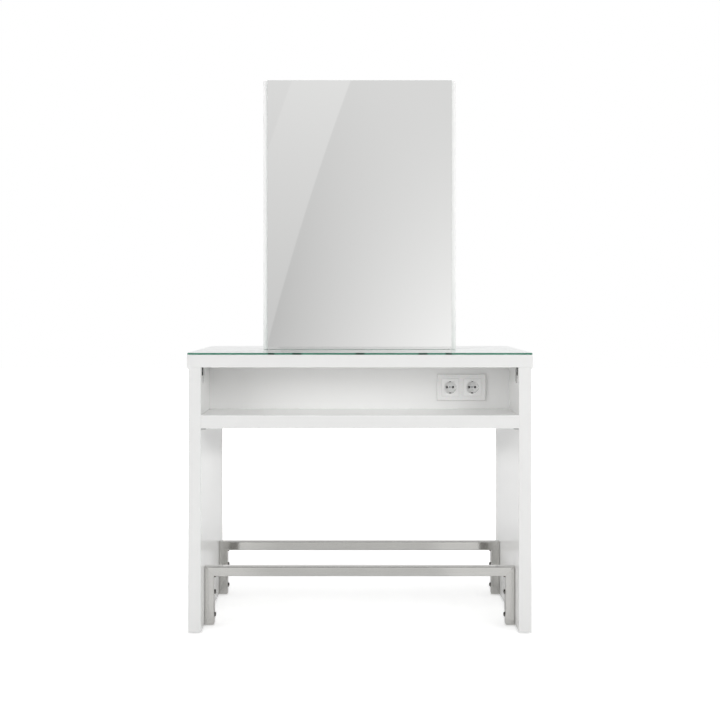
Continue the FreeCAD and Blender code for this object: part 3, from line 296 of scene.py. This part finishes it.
def makeSteel(name, along):
    # along is the tube's direction, as a unit vector
    look = steelLook
    material, tree, shader, place = newMaterial(name, {
        "Metallic": 1.0, "Anisotropic": look["stretched"], "Anisotropic Rotation": 0.25})
    longer = addNode(tree, "ShaderNodeMapping", {
        "Scale": [1 / look["scratchLength" if a else "scratchWidth"] for a in along]},
        {"Vector": place})
    lines = addNode(tree, "ShaderNodeTexNoise", {"Scale": 1.0, "Detail": 3.0},
                    {"Vector": longer.outputs[0]})
    tint = addNode(tree, "ShaderNodeMix", {
        "data_type": "RGBA", 6: linear(look["dark"]), 7: linear(look["colour"])},
        {0: lines.outputs["Fac"]})
    # the seams lie in the planes |x| - z = const through the frame's upper corners
    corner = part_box("footrest_rail_front")[1]
    split = addNode(tree, "ShaderNodeSeparateXYZ", {}, {"Vector": place})
    across = addNode(tree, "ShaderNodeMath", {"operation": "ABSOLUTE"}, {0: split.outputs["X"]})
    slope = addNode(tree, "ShaderNodeMath", {"operation": "SUBTRACT"},
                    {0: across.outputs[0], 1: split.outputs["Z"]})
    off = addNode(tree, "ShaderNodeMath", {"operation": "SUBTRACT", 1: corner.x - corner.z},
                  {0: slope.outputs[0]})
    near = addNode(tree, "ShaderNodeMath", {"operation": "ABSOLUTE"}, {0: off.outputs[0]})
    seam = addNode(tree, "ShaderNodeMapRange", {
        "From Min": look["seamHalf"][0], "From Max": look["seamHalf"][1],
        "To Min": look["seamStrength"], "To Max": 0.0}, {"Value": near.outputs[0]})
    ground = addNode(tree, "ShaderNodeMix", {"data_type": "RGBA", 7: linear(look["seam"])},
                     {0: seam.outputs[0], 6: tint.outputs[2]})
    tree.links.new(ground.outputs[2], shader.inputs["Base Color"])
    rough = addNode(tree, "ShaderNodeMapRange", {
        "From Min": look["follows"][0], "From Max": look["follows"][1],
        "To Min": look["roughness"][0], "To Max": look["roughness"][1]},
        {"Value": lines.outputs["Fac"]})
    tree.links.new(rough.outputs[0], shader.inputs["Roughness"])
    bump = addNode(tree, "ShaderNodeBump", {
        "Strength": look["scratchStrength"], "Distance": look["scratchDepth"]},
        {"Height": lines.outputs["Fac"]})
    tree.links.new(bump.outputs["Normal"], shader.inputs["Normal"])
    direction = addNode(tree, "ShaderNodeCombineXYZ", dict(zip("XYZ", along)))
    tree.links.new(direction.outputs[0], shader.inputs["Tangent"])
    return material


dress(makeBoard("bandedMelamineBoard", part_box("shelf_panel")[1].y), "side_panel", "shelf_panel")
dress(makeBoard("bandedMelamineTop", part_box("top_panel")[1].y), "top_panel")
dress(makeBoard("whiteMelamineBoard"), "spine_board", "mirror_core", "mirror_backing")
dress(makeWood(), "dowels")
dress(makeGlass(), "glass_top")
dress(makeMirror(), "mirror_glass")
dress(makeSteel("beltGroundSteelAlong", (1.0, 0.0, 0.0)), "footrest_rail")
dress(makeSteel("beltGroundSteelUp", (0.0, 0.0, 1.0)), "upright", "end_plate")
print("boards, glass and tubes dressed")


# Moulded, coated, plated and turned finishes. The grain is the size of the surface's texture
# and the height its depth, both in metres.
finishLooks = {
    # ABS of the sockets' cover frames: glossy, with the faint flow of the moulding
    "glossyWhiteAbs": {
        "colour": "#FDFDFC", "roughness": 0.22, "grain": 0.004, "height": 0.00001,
        "nodes": ["socket_frame"]},
    # polyamide glides: satin black with a fine spark texture
    "satinBlackPolyamide": {
        "colour": "#1E1E1F", "roughness": 0.5, "grain": 0.0006, "height": 0.00003,
        "nodes": ["levelling_foot"]},
    # PVC of the wiring parts: satin light grey
    "satinGreyPvc": {
        "colour": "#C6C6C2", "roughness": 0.45, "grain": 0.0015, "height": 0.00002,
        "nodes": ["flush_box", "junction", "conduit", "cable_gland", "gland_nut"]},
    # polyethylene of the terminal block: milky white, waxy
    "satinPolyethylene": {
        "colour": "#DADAD2", "roughness": 0.4, "grain": 0.001, "height": 0.00002,
        "nodes": ["terminal_block"]},
    # powder coat on the mirror's posts: dark and matt, with a fine orange peel
    "darkPowderCoat": {
        "colour": "#3A3B3D", "roughness": 0.55, "grain": 0.0008, "height": 0.00003,
        "nodes": ["mirror_posts"]},
    # black zinc plate on the corner connectors: nearly black, with little shine
    "blackZincPlate": {
        "colour": "#080808", "roughness": 0.6, "grain": 0.001, "height": 0.00002,
        "shine": 0.12, "nodes": ["corner_connectors"]},
    # zinc plated fasteners: bright, with a slightly bluish passivation
    "brightZincPlate": {
        "colour": "#B9BCC0", "roughness": 0.32, "grain": 0.0012, "height": 0.00001,
        "metal": 1.0, "nodes": ["post_screws", "backing_screws", "socket_screws",
                                "mounting_screws", "connector_screws"]},
    # the shelf's supports and their screws: dull zinc, greyer than the fresh screws
    "dullZincPlate": {
        "colour": "#6F7070", "roughness": 0.45, "grain": 0.0012, "height": 0.00002,
        "metal": 1.0, "nodes": ["shelf_supports", "support_screws"]},
    # nickel plated earth strips, painted nearly black: painted shade of the sockets' recesses that
    # they sit in
    "nickelStripPaintedShade": {
        "colour": "#121110", "roughness": 0.45, "grain": 0.002, "height": 0.00001,
        "metal": 1.0, "nodes": ["earth_straps"]},
    # threaded inserts: bare turned brass, bright yellow
    "turnedBrass": {
        "colour": "#C9A65E", "roughness": 0.28, "grain": 0.0008, "height": 0.00001,
        "metal": 1.0, "nodes": ["footrest_inserts", "foot_inserts"]},
    # contact sleeves deep in their holes, painted nearly black: painted shade for where next to no
    # light comes back
    "bronzeSleevePaintedShade": {
        "colour": "#17130E", "roughness": 0.6, "grain": 0.0008, "height": 0.00001,
        "nodes": ["pin_sleeves"]},
    # moulded rubber pads: black and matt
    "blackRubber": {
        "colour": "#202022", "roughness": 0.75, "grain": 0.0008, "height": 0.00004,
        "nodes": ["slot_pads"]},
    # stainless bolts: smooth, and darker than the ground tube
    "stainlessBoltSteel": {
        "colour": "#6E6C69", "roughness": 0.16, "grain": 0.0015, "height": 0.00001,
        "metal": 1.0, "nodes": ["footrest_bolts"]},
    # weld beads: dull steel with the brown of the weld's heat
    "heatTintedWeld": {
        "colour": "#6E655B", "roughness": 0.45, "grain": 0.0012, "height": 0.00004,
        "metal": 1.0, "nodes": ["footrest_welds"]},
}
finishGrain = {
    "strength": 0.35,
    "smoother": 0.05,     # how far the roughness falls below its value
    "rougher": 0.08,      # and how far it rises above it
    "mottle": 0.12,       # how much the grain changes the colour
}


def makeFinish(name, look):
    material, tree, shader, place = newMaterial(name, {
        "Metallic": look.get("metal", 0.0), "Specular IOR Level": look.get("shine", 0.5)})
    noise = addNode(tree, "ShaderNodeTexNoise", {"Scale": 1 / look["grain"], "Detail": 2.0},
                    {"Vector": place})
    bump = addNode(tree, "ShaderNodeBump", {
        "Strength": finishGrain["strength"], "Distance": look["height"]},
        {"Height": noise.outputs["Fac"]})
    tree.links.new(bump.outputs["Normal"], shader.inputs["Normal"])
    rough = addNode(tree, "ShaderNodeMapRange", {
        "To Min": look["roughness"] - finishGrain["smoother"],
        "To Max": look["roughness"] + finishGrain["rougher"]}, {"Value": noise.outputs["Fac"]})
    tree.links.new(rough.outputs[0], shader.inputs["Roughness"])
    tint = addNode(tree, "ShaderNodeMix", {
        "data_type": "RGBA", "blend_type": "MULTIPLY", 0: finishGrain["mottle"],
        6: linear(look["colour"])}, {7: noise.outputs["Color"]})
    tree.links.new(tint.outputs[2], shader.inputs["Base Color"])
    return material


# Socket inserts: the same glossy ABS as their frame, with painted shade in the pin holes: a black
# disc a little wider than each hole.
# Lengths are in metres.
insertLook = {
    "colour": "#FAFAF9",
    "paintedHoleShade": "#050505",
    "roughness": 0.2,
    "middle": 0.325,      # from the station's middle to the frame's
    "pitch": 0.071,       # between the two inserts
    "pins": 0.019,        # between an insert's two pin holes
    "hole": 0.0037,       # radius of the painted black disc over each hole
    "flow": 0.004,        # size of the moulding's flow marks
    "flowHeight": 0.00001,
    "flowStrength": 0.3,
}


def makeInsert():
    look = insertLook
    material, tree, shader, place = newMaterial("mouldedWhiteAbsInsert", {
        "Roughness": look["roughness"]})
    split = addNode(tree, "ShaderNodeSeparateXYZ", {}, {"Vector": place})
    # folding X at the frame's, the inserts' and the holes' middles brings all holes onto one
    across = addNode(tree, "ShaderNodeMath", {"operation": "ABSOLUTE"}, {0: split.outputs["X"]})
    for offset in (look["middle"], look["pitch"] / 2, look["pins"] / 2):
        moved = addNode(tree, "ShaderNodeMath", {"operation": "SUBTRACT", 1: offset},
                        {0: across.outputs[0]})
        across = addNode(tree, "ShaderNodeMath", {"operation": "ABSOLUTE"},
                         {0: moved.outputs[0]})
    low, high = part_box("socket_insert_front_left")
    up = addNode(tree, "ShaderNodeMath", {"operation": "SUBTRACT", 1: (low.z + high.z) / 2},
                 {0: split.outputs["Z"]})
    both = addNode(tree, "ShaderNodeCombineXYZ", {}, {"X": across.outputs[0], "Y": up.outputs[0]})
    reach = addNode(tree, "ShaderNodeVectorMath", {"operation": "LENGTH"}, {0: both.outputs[0]})
    # painted shade: a black disc over each pin hole stands in for the dark of its depth
    hole = addNode(tree, "ShaderNodeMath", {"operation": "LESS_THAN", 1: look["hole"]},
                   {0: reach.outputs["Value"]})
    tint = addNode(tree, "ShaderNodeMix", {
        "data_type": "RGBA", 6: linear(look["colour"]), 7: linear(look["paintedHoleShade"])},
        {0: hole.outputs[0]})
    tree.links.new(tint.outputs[2], shader.inputs["Base Color"])
    flow = addNode(tree, "ShaderNodeTexNoise", {"Scale": 1 / look["flow"], "Detail": 2.0},
                   {"Vector": place})
    bump = addNode(tree, "ShaderNodeBump", {
        "Strength": look["flowStrength"], "Distance": look["flowHeight"]},
        {"Height": flow.outputs["Fac"]})
    tree.links.new(bump.outputs["Normal"], shader.inputs["Normal"])
    return material


finishes = {}
for name, look in finishLooks.items():
    finishes[name] = makeFinish(name, look)
    dress(finishes[name], *look["nodes"])
dress(makeInsert(), "socket_insert")
print("fittings dressed")


pieceLook = {
    "merge": 0.000005,      # metres within which vertices are one
    "sharp": 35,            # degrees from which an edge stays sharp
}


def addPiece(name, shape, material, replaced):
    # a steel piece that stands for a CAD node: smooth, with its sharp corners kept
    bmesh.ops.remove_doubles(shape, verts=shape.verts, dist=pieceLook["merge"])
    bmesh.ops.recalc_face_normals(shape, faces=shape.faces)
    for face in shape.faces:
        face.smooth = True
    sharp = math.radians(pieceLook["sharp"])
    for edge in shape.edges:
        edge.smooth = edge.is_manifold and edge.calc_face_angle() < sharp
    mesh = bpy.data.meshes.new(name)
    shape.to_mesh(mesh)
    shape.free()
    mesh.materials.append(material)
    piece = bpy.data.objects.new(name, mesh)
    bpy.context.scene.collection.objects.link(piece)
    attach(piece, "station")
    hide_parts(replaced)


# Pan head screws with a cross recess. A screw's size is its head's radius and height and its
# shank's radius and length, in metres. Its place is the middle of the head's underside: those
# below are the rear right corner's, and the other corners mirror them.
screwLook = {
    "shoulder": 0.5,          # how high the head's side goes, as a share of its height
    "round": (0.94, 0.85),    # a point of the head's rounding, as shares of radius and height
    "flat": 0.78,             # radius of the flat top, as a share of the head's
    "cross": 0.56,            # half length of the recess, as a share of the head's radius
    "arm": 0.13,              # half width of its arms
    "deep": 0.6,              # depth, as a share of the head's height
    "taper": 0.8,             # size at the bottom of the recess
    "point": 0.5,             # radius of the shank's end, as a share of the shank's
    "steps": 32,
    "socketSize": (0.0025, 0.002, 0.0015, 0.0172),
    "socketFace": 0.066,      # from the station's middle plane to a socket screw's head
    "connectorSize": (0.0045, 0.0035, 0.0025, 0.0275),
    "intoTop": (0.4875, 0.26644, 0.776),
    "intoSide": (0.4835, 0.24844, 0.7895),
    "supportSize": (0.00325, 0.0018, 0.00175, 0.0152),
    "intoShelf": (0.472, 0.282, 0.6178),
}


def addScrews(name, material, replaced, sizes, places):
    look = screwLook
    head, height, shank, length = sizes
    single = bmesh.new()
    outline = [(0.0, -length), (look["point"] * shank, -length), (shank, -length + shank),
               (shank, 0.0), (head, 0.0), (head, look["shoulder"] * height),
               (look["round"][0] * head, look["round"][1] * height),
               (look["flat"] * head, height)]
    line = [single.verts.new((x, 0.0, z)) for x, z in outline]
    rims = [single.edges.new(pair) for pair in zip(line, line[1:])]
    bmesh.ops.spin(single, geom=line + rims, cent=(0, 0, 0), axis=(0, 0, 1), dvec=(0, 0, 0),
                   angle=2 * math.pi, steps=look["steps"], use_merge=True)
    top = [e for e in single.edges if e.is_boundary
           and min(v.co.z for v in e.verts) > look["round"][1] * height]
    # the recess: twelve corners, three for each arm, at the top and at the bottom
    far, near = look["cross"] * head, look["arm"] * head
    corners = []
    for turn in range(4):
        quarter = Matrix.Rotation(turn * math.pi / 2, 3, "Z")
        corners += [quarter @ Vector((x, y, 0.0))
                    for x, y in ((far, -near), (far, near), (near, near))]
    upper = [single.verts.new(c + Vector((0, 0, height))) for c in corners]
    lower = [single.verts.new(look["taper"] * c + Vector((0, 0, (1 - look["deep"]) * height)))
             for c in corners]
    for index in range(len(corners)):
        after = (index + 1) % len(corners)
        single.faces.new((upper[index], upper[after], lower[after], lower[index]))
    single.faces.new(lower)
    cross = [single.edges.get((upper[i - 1], upper[i])) for i in range(len(upper))]
    bmesh.ops.triangle_fill(single, edges=top + cross, use_beauty=True)
    one = bpy.data.meshes.new(name + "Single")
    single.to_mesh(one)
    single.free()
    shape = bmesh.new()
    for place, facing in places:
        before = len(shape.verts)
        shape.from_mesh(one)
        turned = Vector(facing).to_track_quat("Z", "X").to_matrix().to_4x4()
        bmesh.ops.transform(shape, matrix=Matrix.Translation(place) @ turned,
                            verts=shape.verts[before:])
    bpy.data.meshes.remove(one)
    addPiece(name, shape, material, replaced)


def fourfold(place, facing):
    # the same screw at each corner of the station, with the way that its head faces
    return [((sx * place[0], sy * place[1], place[2]), (sx * facing[0], sy * facing[1], facing[2]))
            for sx in (-1, 1) for sy in (-1, 1)]


socketScrews = []
for side in ("left", "right"):
    for face, turn in (("front", -1), ("rear", 1)):
        low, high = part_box(f"socket_insert_{face}_{side}")
        middle = (low + high) / 2
        socketScrews.append(((middle.x, turn * screwLook["socketFace"], middle.z), (0, turn, 0)))
addScrews("crossSocketScrews", finishes["brightZincPlate"], "socket_screws",
          screwLook["socketSize"], socketScrews)
addScrews("crossConnectorScrews", finishes["brightZincPlate"], "connector_screws",
          screwLook["connectorSize"], fourfold(screwLook["intoTop"], (0, 0, -1))
          + fourfold(screwLook["intoSide"], (-1, 0, 0)))
addScrews("crossSupportScrews", finishes["dullZincPlate"], "support_screws",
          screwLook["supportSize"], fourfold(screwLook["intoShelf"], (0, 0, -1)))
print("screws made")


# Weld beads in the inner corners of the footrests' mitres: a row of curved ripples that
# starts and ends in a rounded tip.
weldLook = {
    "radius": 0.005,      # metres
    "ripples": 10,
    "depth": 0.14,        # how deep the ripples are, as a share of the radius
    "bow": 0.0009,        # metres that a ripple's middle runs ahead of its ends
    "blunt": 6,           # the higher, the blunter the tips
    "fine": 8,            # rows of faces in one ripple
    "across": 12,         # rows of faces round the bead
}


def addWelds():
    look = weldLook
    shape = bmesh.new()
    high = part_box("footrest_welds")[1]
    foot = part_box("footrest_rail_front")[0].z
    rail = sum(corner.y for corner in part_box("footrest_rail_rear")) / 2
    half = high.y - rail
    for sx in (-1, 1):
        for sy in (-1, 1):
            before = len(shape.verts)
            bmesh.ops.create_grid(shape, x_segments=look["ripples"] * look["fine"],
                                  y_segments=look["across"], size=0.5)
            for vert in shape.verts[before:]:
                along, around = 2 * vert.co.x, vert.co.y + 0.5
                wave = abs(math.sin(math.pi * look["ripples"] * (vert.co.x + 0.5)))
                tip = (1 - along ** look["blunt"]) ** 0.5 if abs(along) < 1 else 0.0
                size = look["radius"] * tip * (1 - look["depth"] * (1 - wave))
                angle = around * math.pi / 2
                bend = look["bow"] * math.sin(2 * angle) * (1 - abs(along))
                vert.co = (sx * (high.x - size * math.cos(angle)),
                           sy * rail + half * along + bend, foot - size * math.sin(angle))
    addPiece("rippledWelds", shape, finishes["heatTintedWeld"],
             "footrest_welds")


addWelds()
print("welds made")


# A painted floor and soft lamps. The floor and the world glow white for the camera, through
# the glass and in reflections only, so that the station's own light stays plain.
studio = {
    "floorSize": 30.0,
    "floorColour": "#FCFCFC",
    "floorRoughness": 0.9,
    "floorGlow": (0.45, 1.6),       # near and far, as the camera sees it
    "farFloor": (0.8, 2.6),         # metres from the middle over which that glow grows
    "glossGlow": (0.07, 0.21),      # below the station's middle and beyond, in reflections; the low value below is painted shade of the station in the reflected floor
    "reflectedShadeFade": (0.08, 0.2),      # metres from the middle over which that painted shade gives way to the glow
    "patch": (-0.45, -0.32, 0.30, 0.34),    # X over which a darker patch comes and goes in them
    "patchEnd": (1.3, 1.6),         # metres from the middle over which that patch fades
    "patchShade": 0.9,              # how much darker it is
    "sky": 0.32,                    # the world's light on the station
    "aim": (0.0, 0.0, 0.7),
    "lamps": {
        "front": {"place": (0.0, -4.0, 2.2), "size": (6.0, 1.2), "power": 28.0},
        "key": {"place": (3.2, -3.2, 1.7), "size": (2.8, 1.6), "power": 60.0},
        "left": {"place": (-3.2, -3.2, 1.2), "size": (2.6, 1.6), "power": 46.0},
        "rear": {"place": (-0.4, 4.2, 1.4), "size": (8.0, 2.0), "power": 46.0},
        "top": {"place": (0.0, 0.0, 5.0), "size": (1.6, 1.6), "power": 48.0},
    },
}


def addPlane(name, size, tilt=0, move=(0, 0, 0)):
    # a square sheet, tilted by so many degrees and moved in its own mesh
    mesh = bpy.data.meshes.new(name)
    shape = bmesh.new()
    bmesh.ops.create_grid(shape, x_segments=1, y_segments=1, size=size / 2)
    bmesh.ops.rotate(shape, verts=shape.verts, matrix=Matrix.Rotation(math.radians(tilt), 3, "X"))
    bmesh.ops.translate(shape, verts=shape.verts, vec=move)
    shape.to_mesh(mesh)
    shape.free()
    plane = bpy.data.objects.new(name, mesh)
    bpy.context.scene.collection.objects.link(plane)
    return plane


def addFloor():
    floor = addPlane("floor", studio["floorSize"])
    material, tree, shader, place = newMaterial("paintedFloor", {
        "Base Color": studio["floorColour"], "Roughness": studio["floorRoughness"],
        "Specular IOR Level": 0.0, "Emission Color": "#FFFFFF"})
    # the rear half is the front half turned half round
    split = addNode(tree, "ShaderNodeSeparateXYZ", {}, {"Vector": place})
    side = addNode(tree, "ShaderNodeMath", {"operation": "SIGN"}, {0: split.outputs["Y"]})
    turned = addNode(tree, "ShaderNodeMath", {"operation": "MULTIPLY"},
                     {0: split.outputs["X"], 1: side.outputs[0]})
    right = addNode(tree, "ShaderNodeMath", {"operation": "MULTIPLY", 1: -1.0},
                    {0: turned.outputs[0]})
    away = addNode(tree, "ShaderNodeMath", {"operation": "ABSOLUTE"}, {0: split.outputs["Y"]})
    start, full, fading, end = studio["patch"]
    first = addNode(tree, "ShaderNodeMapRange", {"From Min": start, "From Max": full},
                    {"Value": right.outputs[0]})
    last = addNode(tree, "ShaderNodeMapRange", {
        "From Min": fading, "From Max": end, "To Min": 1.0, "To Max": 0.0},
        {"Value": right.outputs[0]})
    start, end = studio["patchEnd"]
    far = addNode(tree, "ShaderNodeMapRange", {
        "From Min": start, "From Max": end, "To Min": studio["patchShade"], "To Max": 0.0},
        {"Value": away.outputs[0]})
    width = addNode(tree, "ShaderNodeMath", {"operation": "MULTIPLY"},
                    {0: first.outputs[0], 1: last.outputs[0]})
    patch = addNode(tree, "ShaderNodeMath", {"operation": "MULTIPLY"},
                    {0: width.outputs[0], 1: far.outputs[0]})
    spared = addNode(tree, "ShaderNodeMath", {"operation": "SUBTRACT", 0: 1.0},
                     {1: patch.outputs[0]})
    # painted shade: in reflections the floor's glow fades out below the station, deepening its
    # shadow there
    start, end = studio["reflectedShadeFade"]
    low, high = studio["glossGlow"]
    near = addNode(tree, "ShaderNodeMapRange", {
        "From Min": start, "From Max": end, "To Min": low, "To Max": high},
        {"Value": away.outputs[0]})
    sheen = addNode(tree, "ShaderNodeMath", {"operation": "MULTIPLY"},
                    {0: spared.outputs[0], 1: near.outputs[0]})
    path = addNode(tree, "ShaderNodeLightPath")
    seen = addNode(tree, "ShaderNodeMath", {"operation": "MAXIMUM"}, {
        0: path.outputs["Is Camera Ray"], 1: path.outputs["Is Transmission Ray"]})
    radius = addNode(tree, "ShaderNodeVectorMath", {"operation": "LENGTH"}, {0: place})
    start, end = studio["farFloor"]
    low, high = studio["floorGlow"]
    white = addNode(tree, "ShaderNodeMapRange", {
        "From Min": start, "From Max": end, "To Min": low, "To Max": high},
        {"Value": radius.outputs["Value"]})
    direct = addNode(tree, "ShaderNodeMath", {"operation": "MULTIPLY"},
                     {0: seen.outputs[0], 1: white.outputs[0]})
    glow = addNode(tree, "ShaderNodeMath", {"operation": "MULTIPLY_ADD"}, {
        0: sheen.outputs[0], 1: path.outputs["Is Glossy Ray"], 2: direct.outputs[0]})
    tree.links.new(glow.outputs[0], shader.inputs["Emission Strength"])
    floor.data.materials.append(material)


def addWorld():
    world = bpy.data.worlds.new("studio")
    bpy.context.scene.world = world
    world.use_nodes = True
    tree = world.node_tree
    tree.nodes.clear()
    path = addNode(tree, "ShaderNodeLightPath")
    seen = addNode(tree, "ShaderNodeMath", {"operation": "MAXIMUM"}, {
        0: path.outputs["Is Camera Ray"], 1: path.outputs["Is Glossy Ray"]})
    through = addNode(tree, "ShaderNodeMath", {"operation": "MAXIMUM"}, {
        0: seen.outputs[0], 1: path.outputs["Is Transmission Ray"]})
    strength = addNode(tree, "ShaderNodeMapRange", {
        "To Min": studio["sky"], "To Max": 1.0}, {"Value": through.outputs[0]})
    sky = addNode(tree, "ShaderNodeBackground", {"Color": (1, 1, 1, 1)},
                  {"Strength": strength.outputs[0]})
    addNode(tree, "ShaderNodeOutputWorld", {}, {"Surface": sky.outputs[0]})


def addLamp(name, look):
    data = bpy.data.lights.new(name, "AREA")
    data.shape = "RECTANGLE"
    data.size, data.size_y = look["size"]
    data.energy = look["power"]
    lamp = bpy.data.objects.new(name, data)
    lamp.location = look["place"]
    aim = Vector(studio["aim"]) - lamp.location
    lamp.rotation_euler = aim.to_track_quat("-Z", "Y").to_euler()
    lamp.visible_glossy = False
    bpy.context.scene.collection.objects.link(lamp)


def newGlow(name):
    # an unlit white material, whose strength the card sets
    material = bpy.data.materials.new(name)
    material.use_nodes = True
    tree = material.node_tree
    tree.nodes.clear()
    glow = addNode(tree, "ShaderNodeEmission", {"Color": (1, 1, 1, 1)})
    addNode(tree, "ShaderNodeOutputMaterial", {}, {"Surface": glow.outputs[0]})
    return material, tree, glow


def hangCard(card, material):
    # only reflections see a card
    card.data.materials.append(material)
    for ray in ("camera", "diffuse", "transmission", "volume_scatter", "shadow"):
        setattr(card, "visible_" + ray, False)


# A dark card hangs overhead: it draws the thin dark lines along the steel tubes' upper corners.
ceilingLook = {
    "height": 3.2,
    "size": 8.4,
    "glow": 0.02,
}


def addCeiling():
    look = ceilingLook
    card = addPlane("ceilingCard", look["size"], 0, (0, 0, look["height"]))
    material, tree, glow = newGlow("ceilingCard")
    glow.inputs["Strength"].default_value = look["glow"]
    hangCard(card, material)


# A grey card stands far in front of each mirror: shaded like a studio wall, with a paler band
# beyond a long, slightly bent edge. Lengths are in metres.
cardLook = {
    "away": 6.0,
    "size": 10.0,
    "sunk": 1.0,               # how far it goes below the floor
    "low": (0.60, 1.05),       # brightness low down, at the shade's middle and far to the right
    "high": 0.80,              # brightness high up
    "middle": (-0.67, 0.88),   # where the shade is deepest, as X and Z
    "lean": 0.31,              # radians that the shade's axis leans to the right
    "reach": (1.40, 2.2),      # how far the shade runs to the right and up
    "bend": (20.37, -4.81),    # the centre of the bent edges
    "edges": (21.80, 22.25),   # their radii
    "edgeHalf": 0.004,         # half the width over which an edge is soft
    "band": 0.085,             # how much paler the band is
    "bandLoss": 0.4,           # the share of that which is lost beyond the second edge
    "foot": 0.95,              # brightness of the plain part below
    "clearFoot": {"frontCard": (-2.0, -1.0), "rearCard": (1.9, 2.6)},    # Z where the shade starts
}


def addCard(name, side):
    # side is -1 for the front card and 1 for the rear one, which is the front turned half round
    look = cardLook
    card = addPlane(name, look["size"], 90,
                    (0, side * look["away"], look["size"] / 2 - look["sunk"]))
    material, tree, glow = newGlow(name)
    place = addNode(tree, "ShaderNodeTexCoord").outputs["Object"]
    flat = addNode(tree, "ShaderNodeMapping", {"Scale": (-side, 0.0, 1.0)}, {"Vector": place})
    turned = addNode(tree, "ShaderNodeMapping", {
        "vector_type": "TEXTURE", "Location": (look["middle"][0], 0.0, look["middle"][1]),
        "Rotation": (0.0, look["lean"], 0.0)}, {"Vector": flat.outputs[0]})
    split = addNode(tree, "ShaderNodeSeparateXYZ", {}, {"Vector": turned.outputs[0]})
    right = addNode(tree, "ShaderNodeMapRange", {
        "From Max": look["reach"][0], "To Min": look["low"][0], "To Max": look["low"][1]},
        {"Value": split.outputs["X"]})
    up = addNode(tree, "ShaderNodeMapRange", {"From Max": look["reach"][1]},
                 {"Value": split.outputs["Z"]})
    shade = addNode(tree, "ShaderNodeMix", {"data_type": "FLOAT", 3: look["high"]},
                    {0: up.outputs[0], 2: right.outputs[0]})
    reach = addNode(tree, "ShaderNodeVectorMath", {
        "operation": "DISTANCE", 1: (look["bend"][0], 0.0, look["bend"][1])},
        {0: flat.outputs[0]})
    steps = [addNode(tree, "ShaderNodeMapRange", {
        "From Min": radius - look["edgeHalf"], "From Max": radius + look["edgeHalf"]},
        {"Value": reach.outputs["Value"]}) for radius in look["edges"]]
    lost = addNode(tree, "ShaderNodeMath", {"operation": "MULTIPLY", 1: -look["bandLoss"]},
                   {0: steps[1].outputs[0]})
    band = addNode(tree, "ShaderNodeMath", {"operation": "ADD"},
                   {0: steps[0].outputs[0], 1: lost.outputs[0]})
    total = addNode(tree, "ShaderNodeMath", {"operation": "MULTIPLY_ADD", 1: look["band"]},
                    {0: band.outputs[0], 2: shade.outputs[0]})
    start, end = look["clearFoot"][name]
    above = addNode(tree, "ShaderNodeSeparateXYZ", {}, {"Vector": place})
    fade = addNode(tree, "ShaderNodeMapRange", {"From Min": start, "From Max": end},
                   {"Value": above.outputs["Z"]})
    strength = addNode(tree, "ShaderNodeMix", {"data_type": "FLOAT", 2: look["foot"]},
                       {0: fade.outputs[0], 3: total.outputs[0]})
    tree.links.new(strength.outputs[0], glow.inputs["Strength"])
    hangCard(card, material)


addFloor()
addWorld()
for name, look in studio["lamps"].items():
    addLamp(name, look)
addCeiling()
addCard("frontCard", -1)
addCard("rearCard", 1)
bpy.context.scene.view_settings.view_transform = "Standard"
print("studio set")
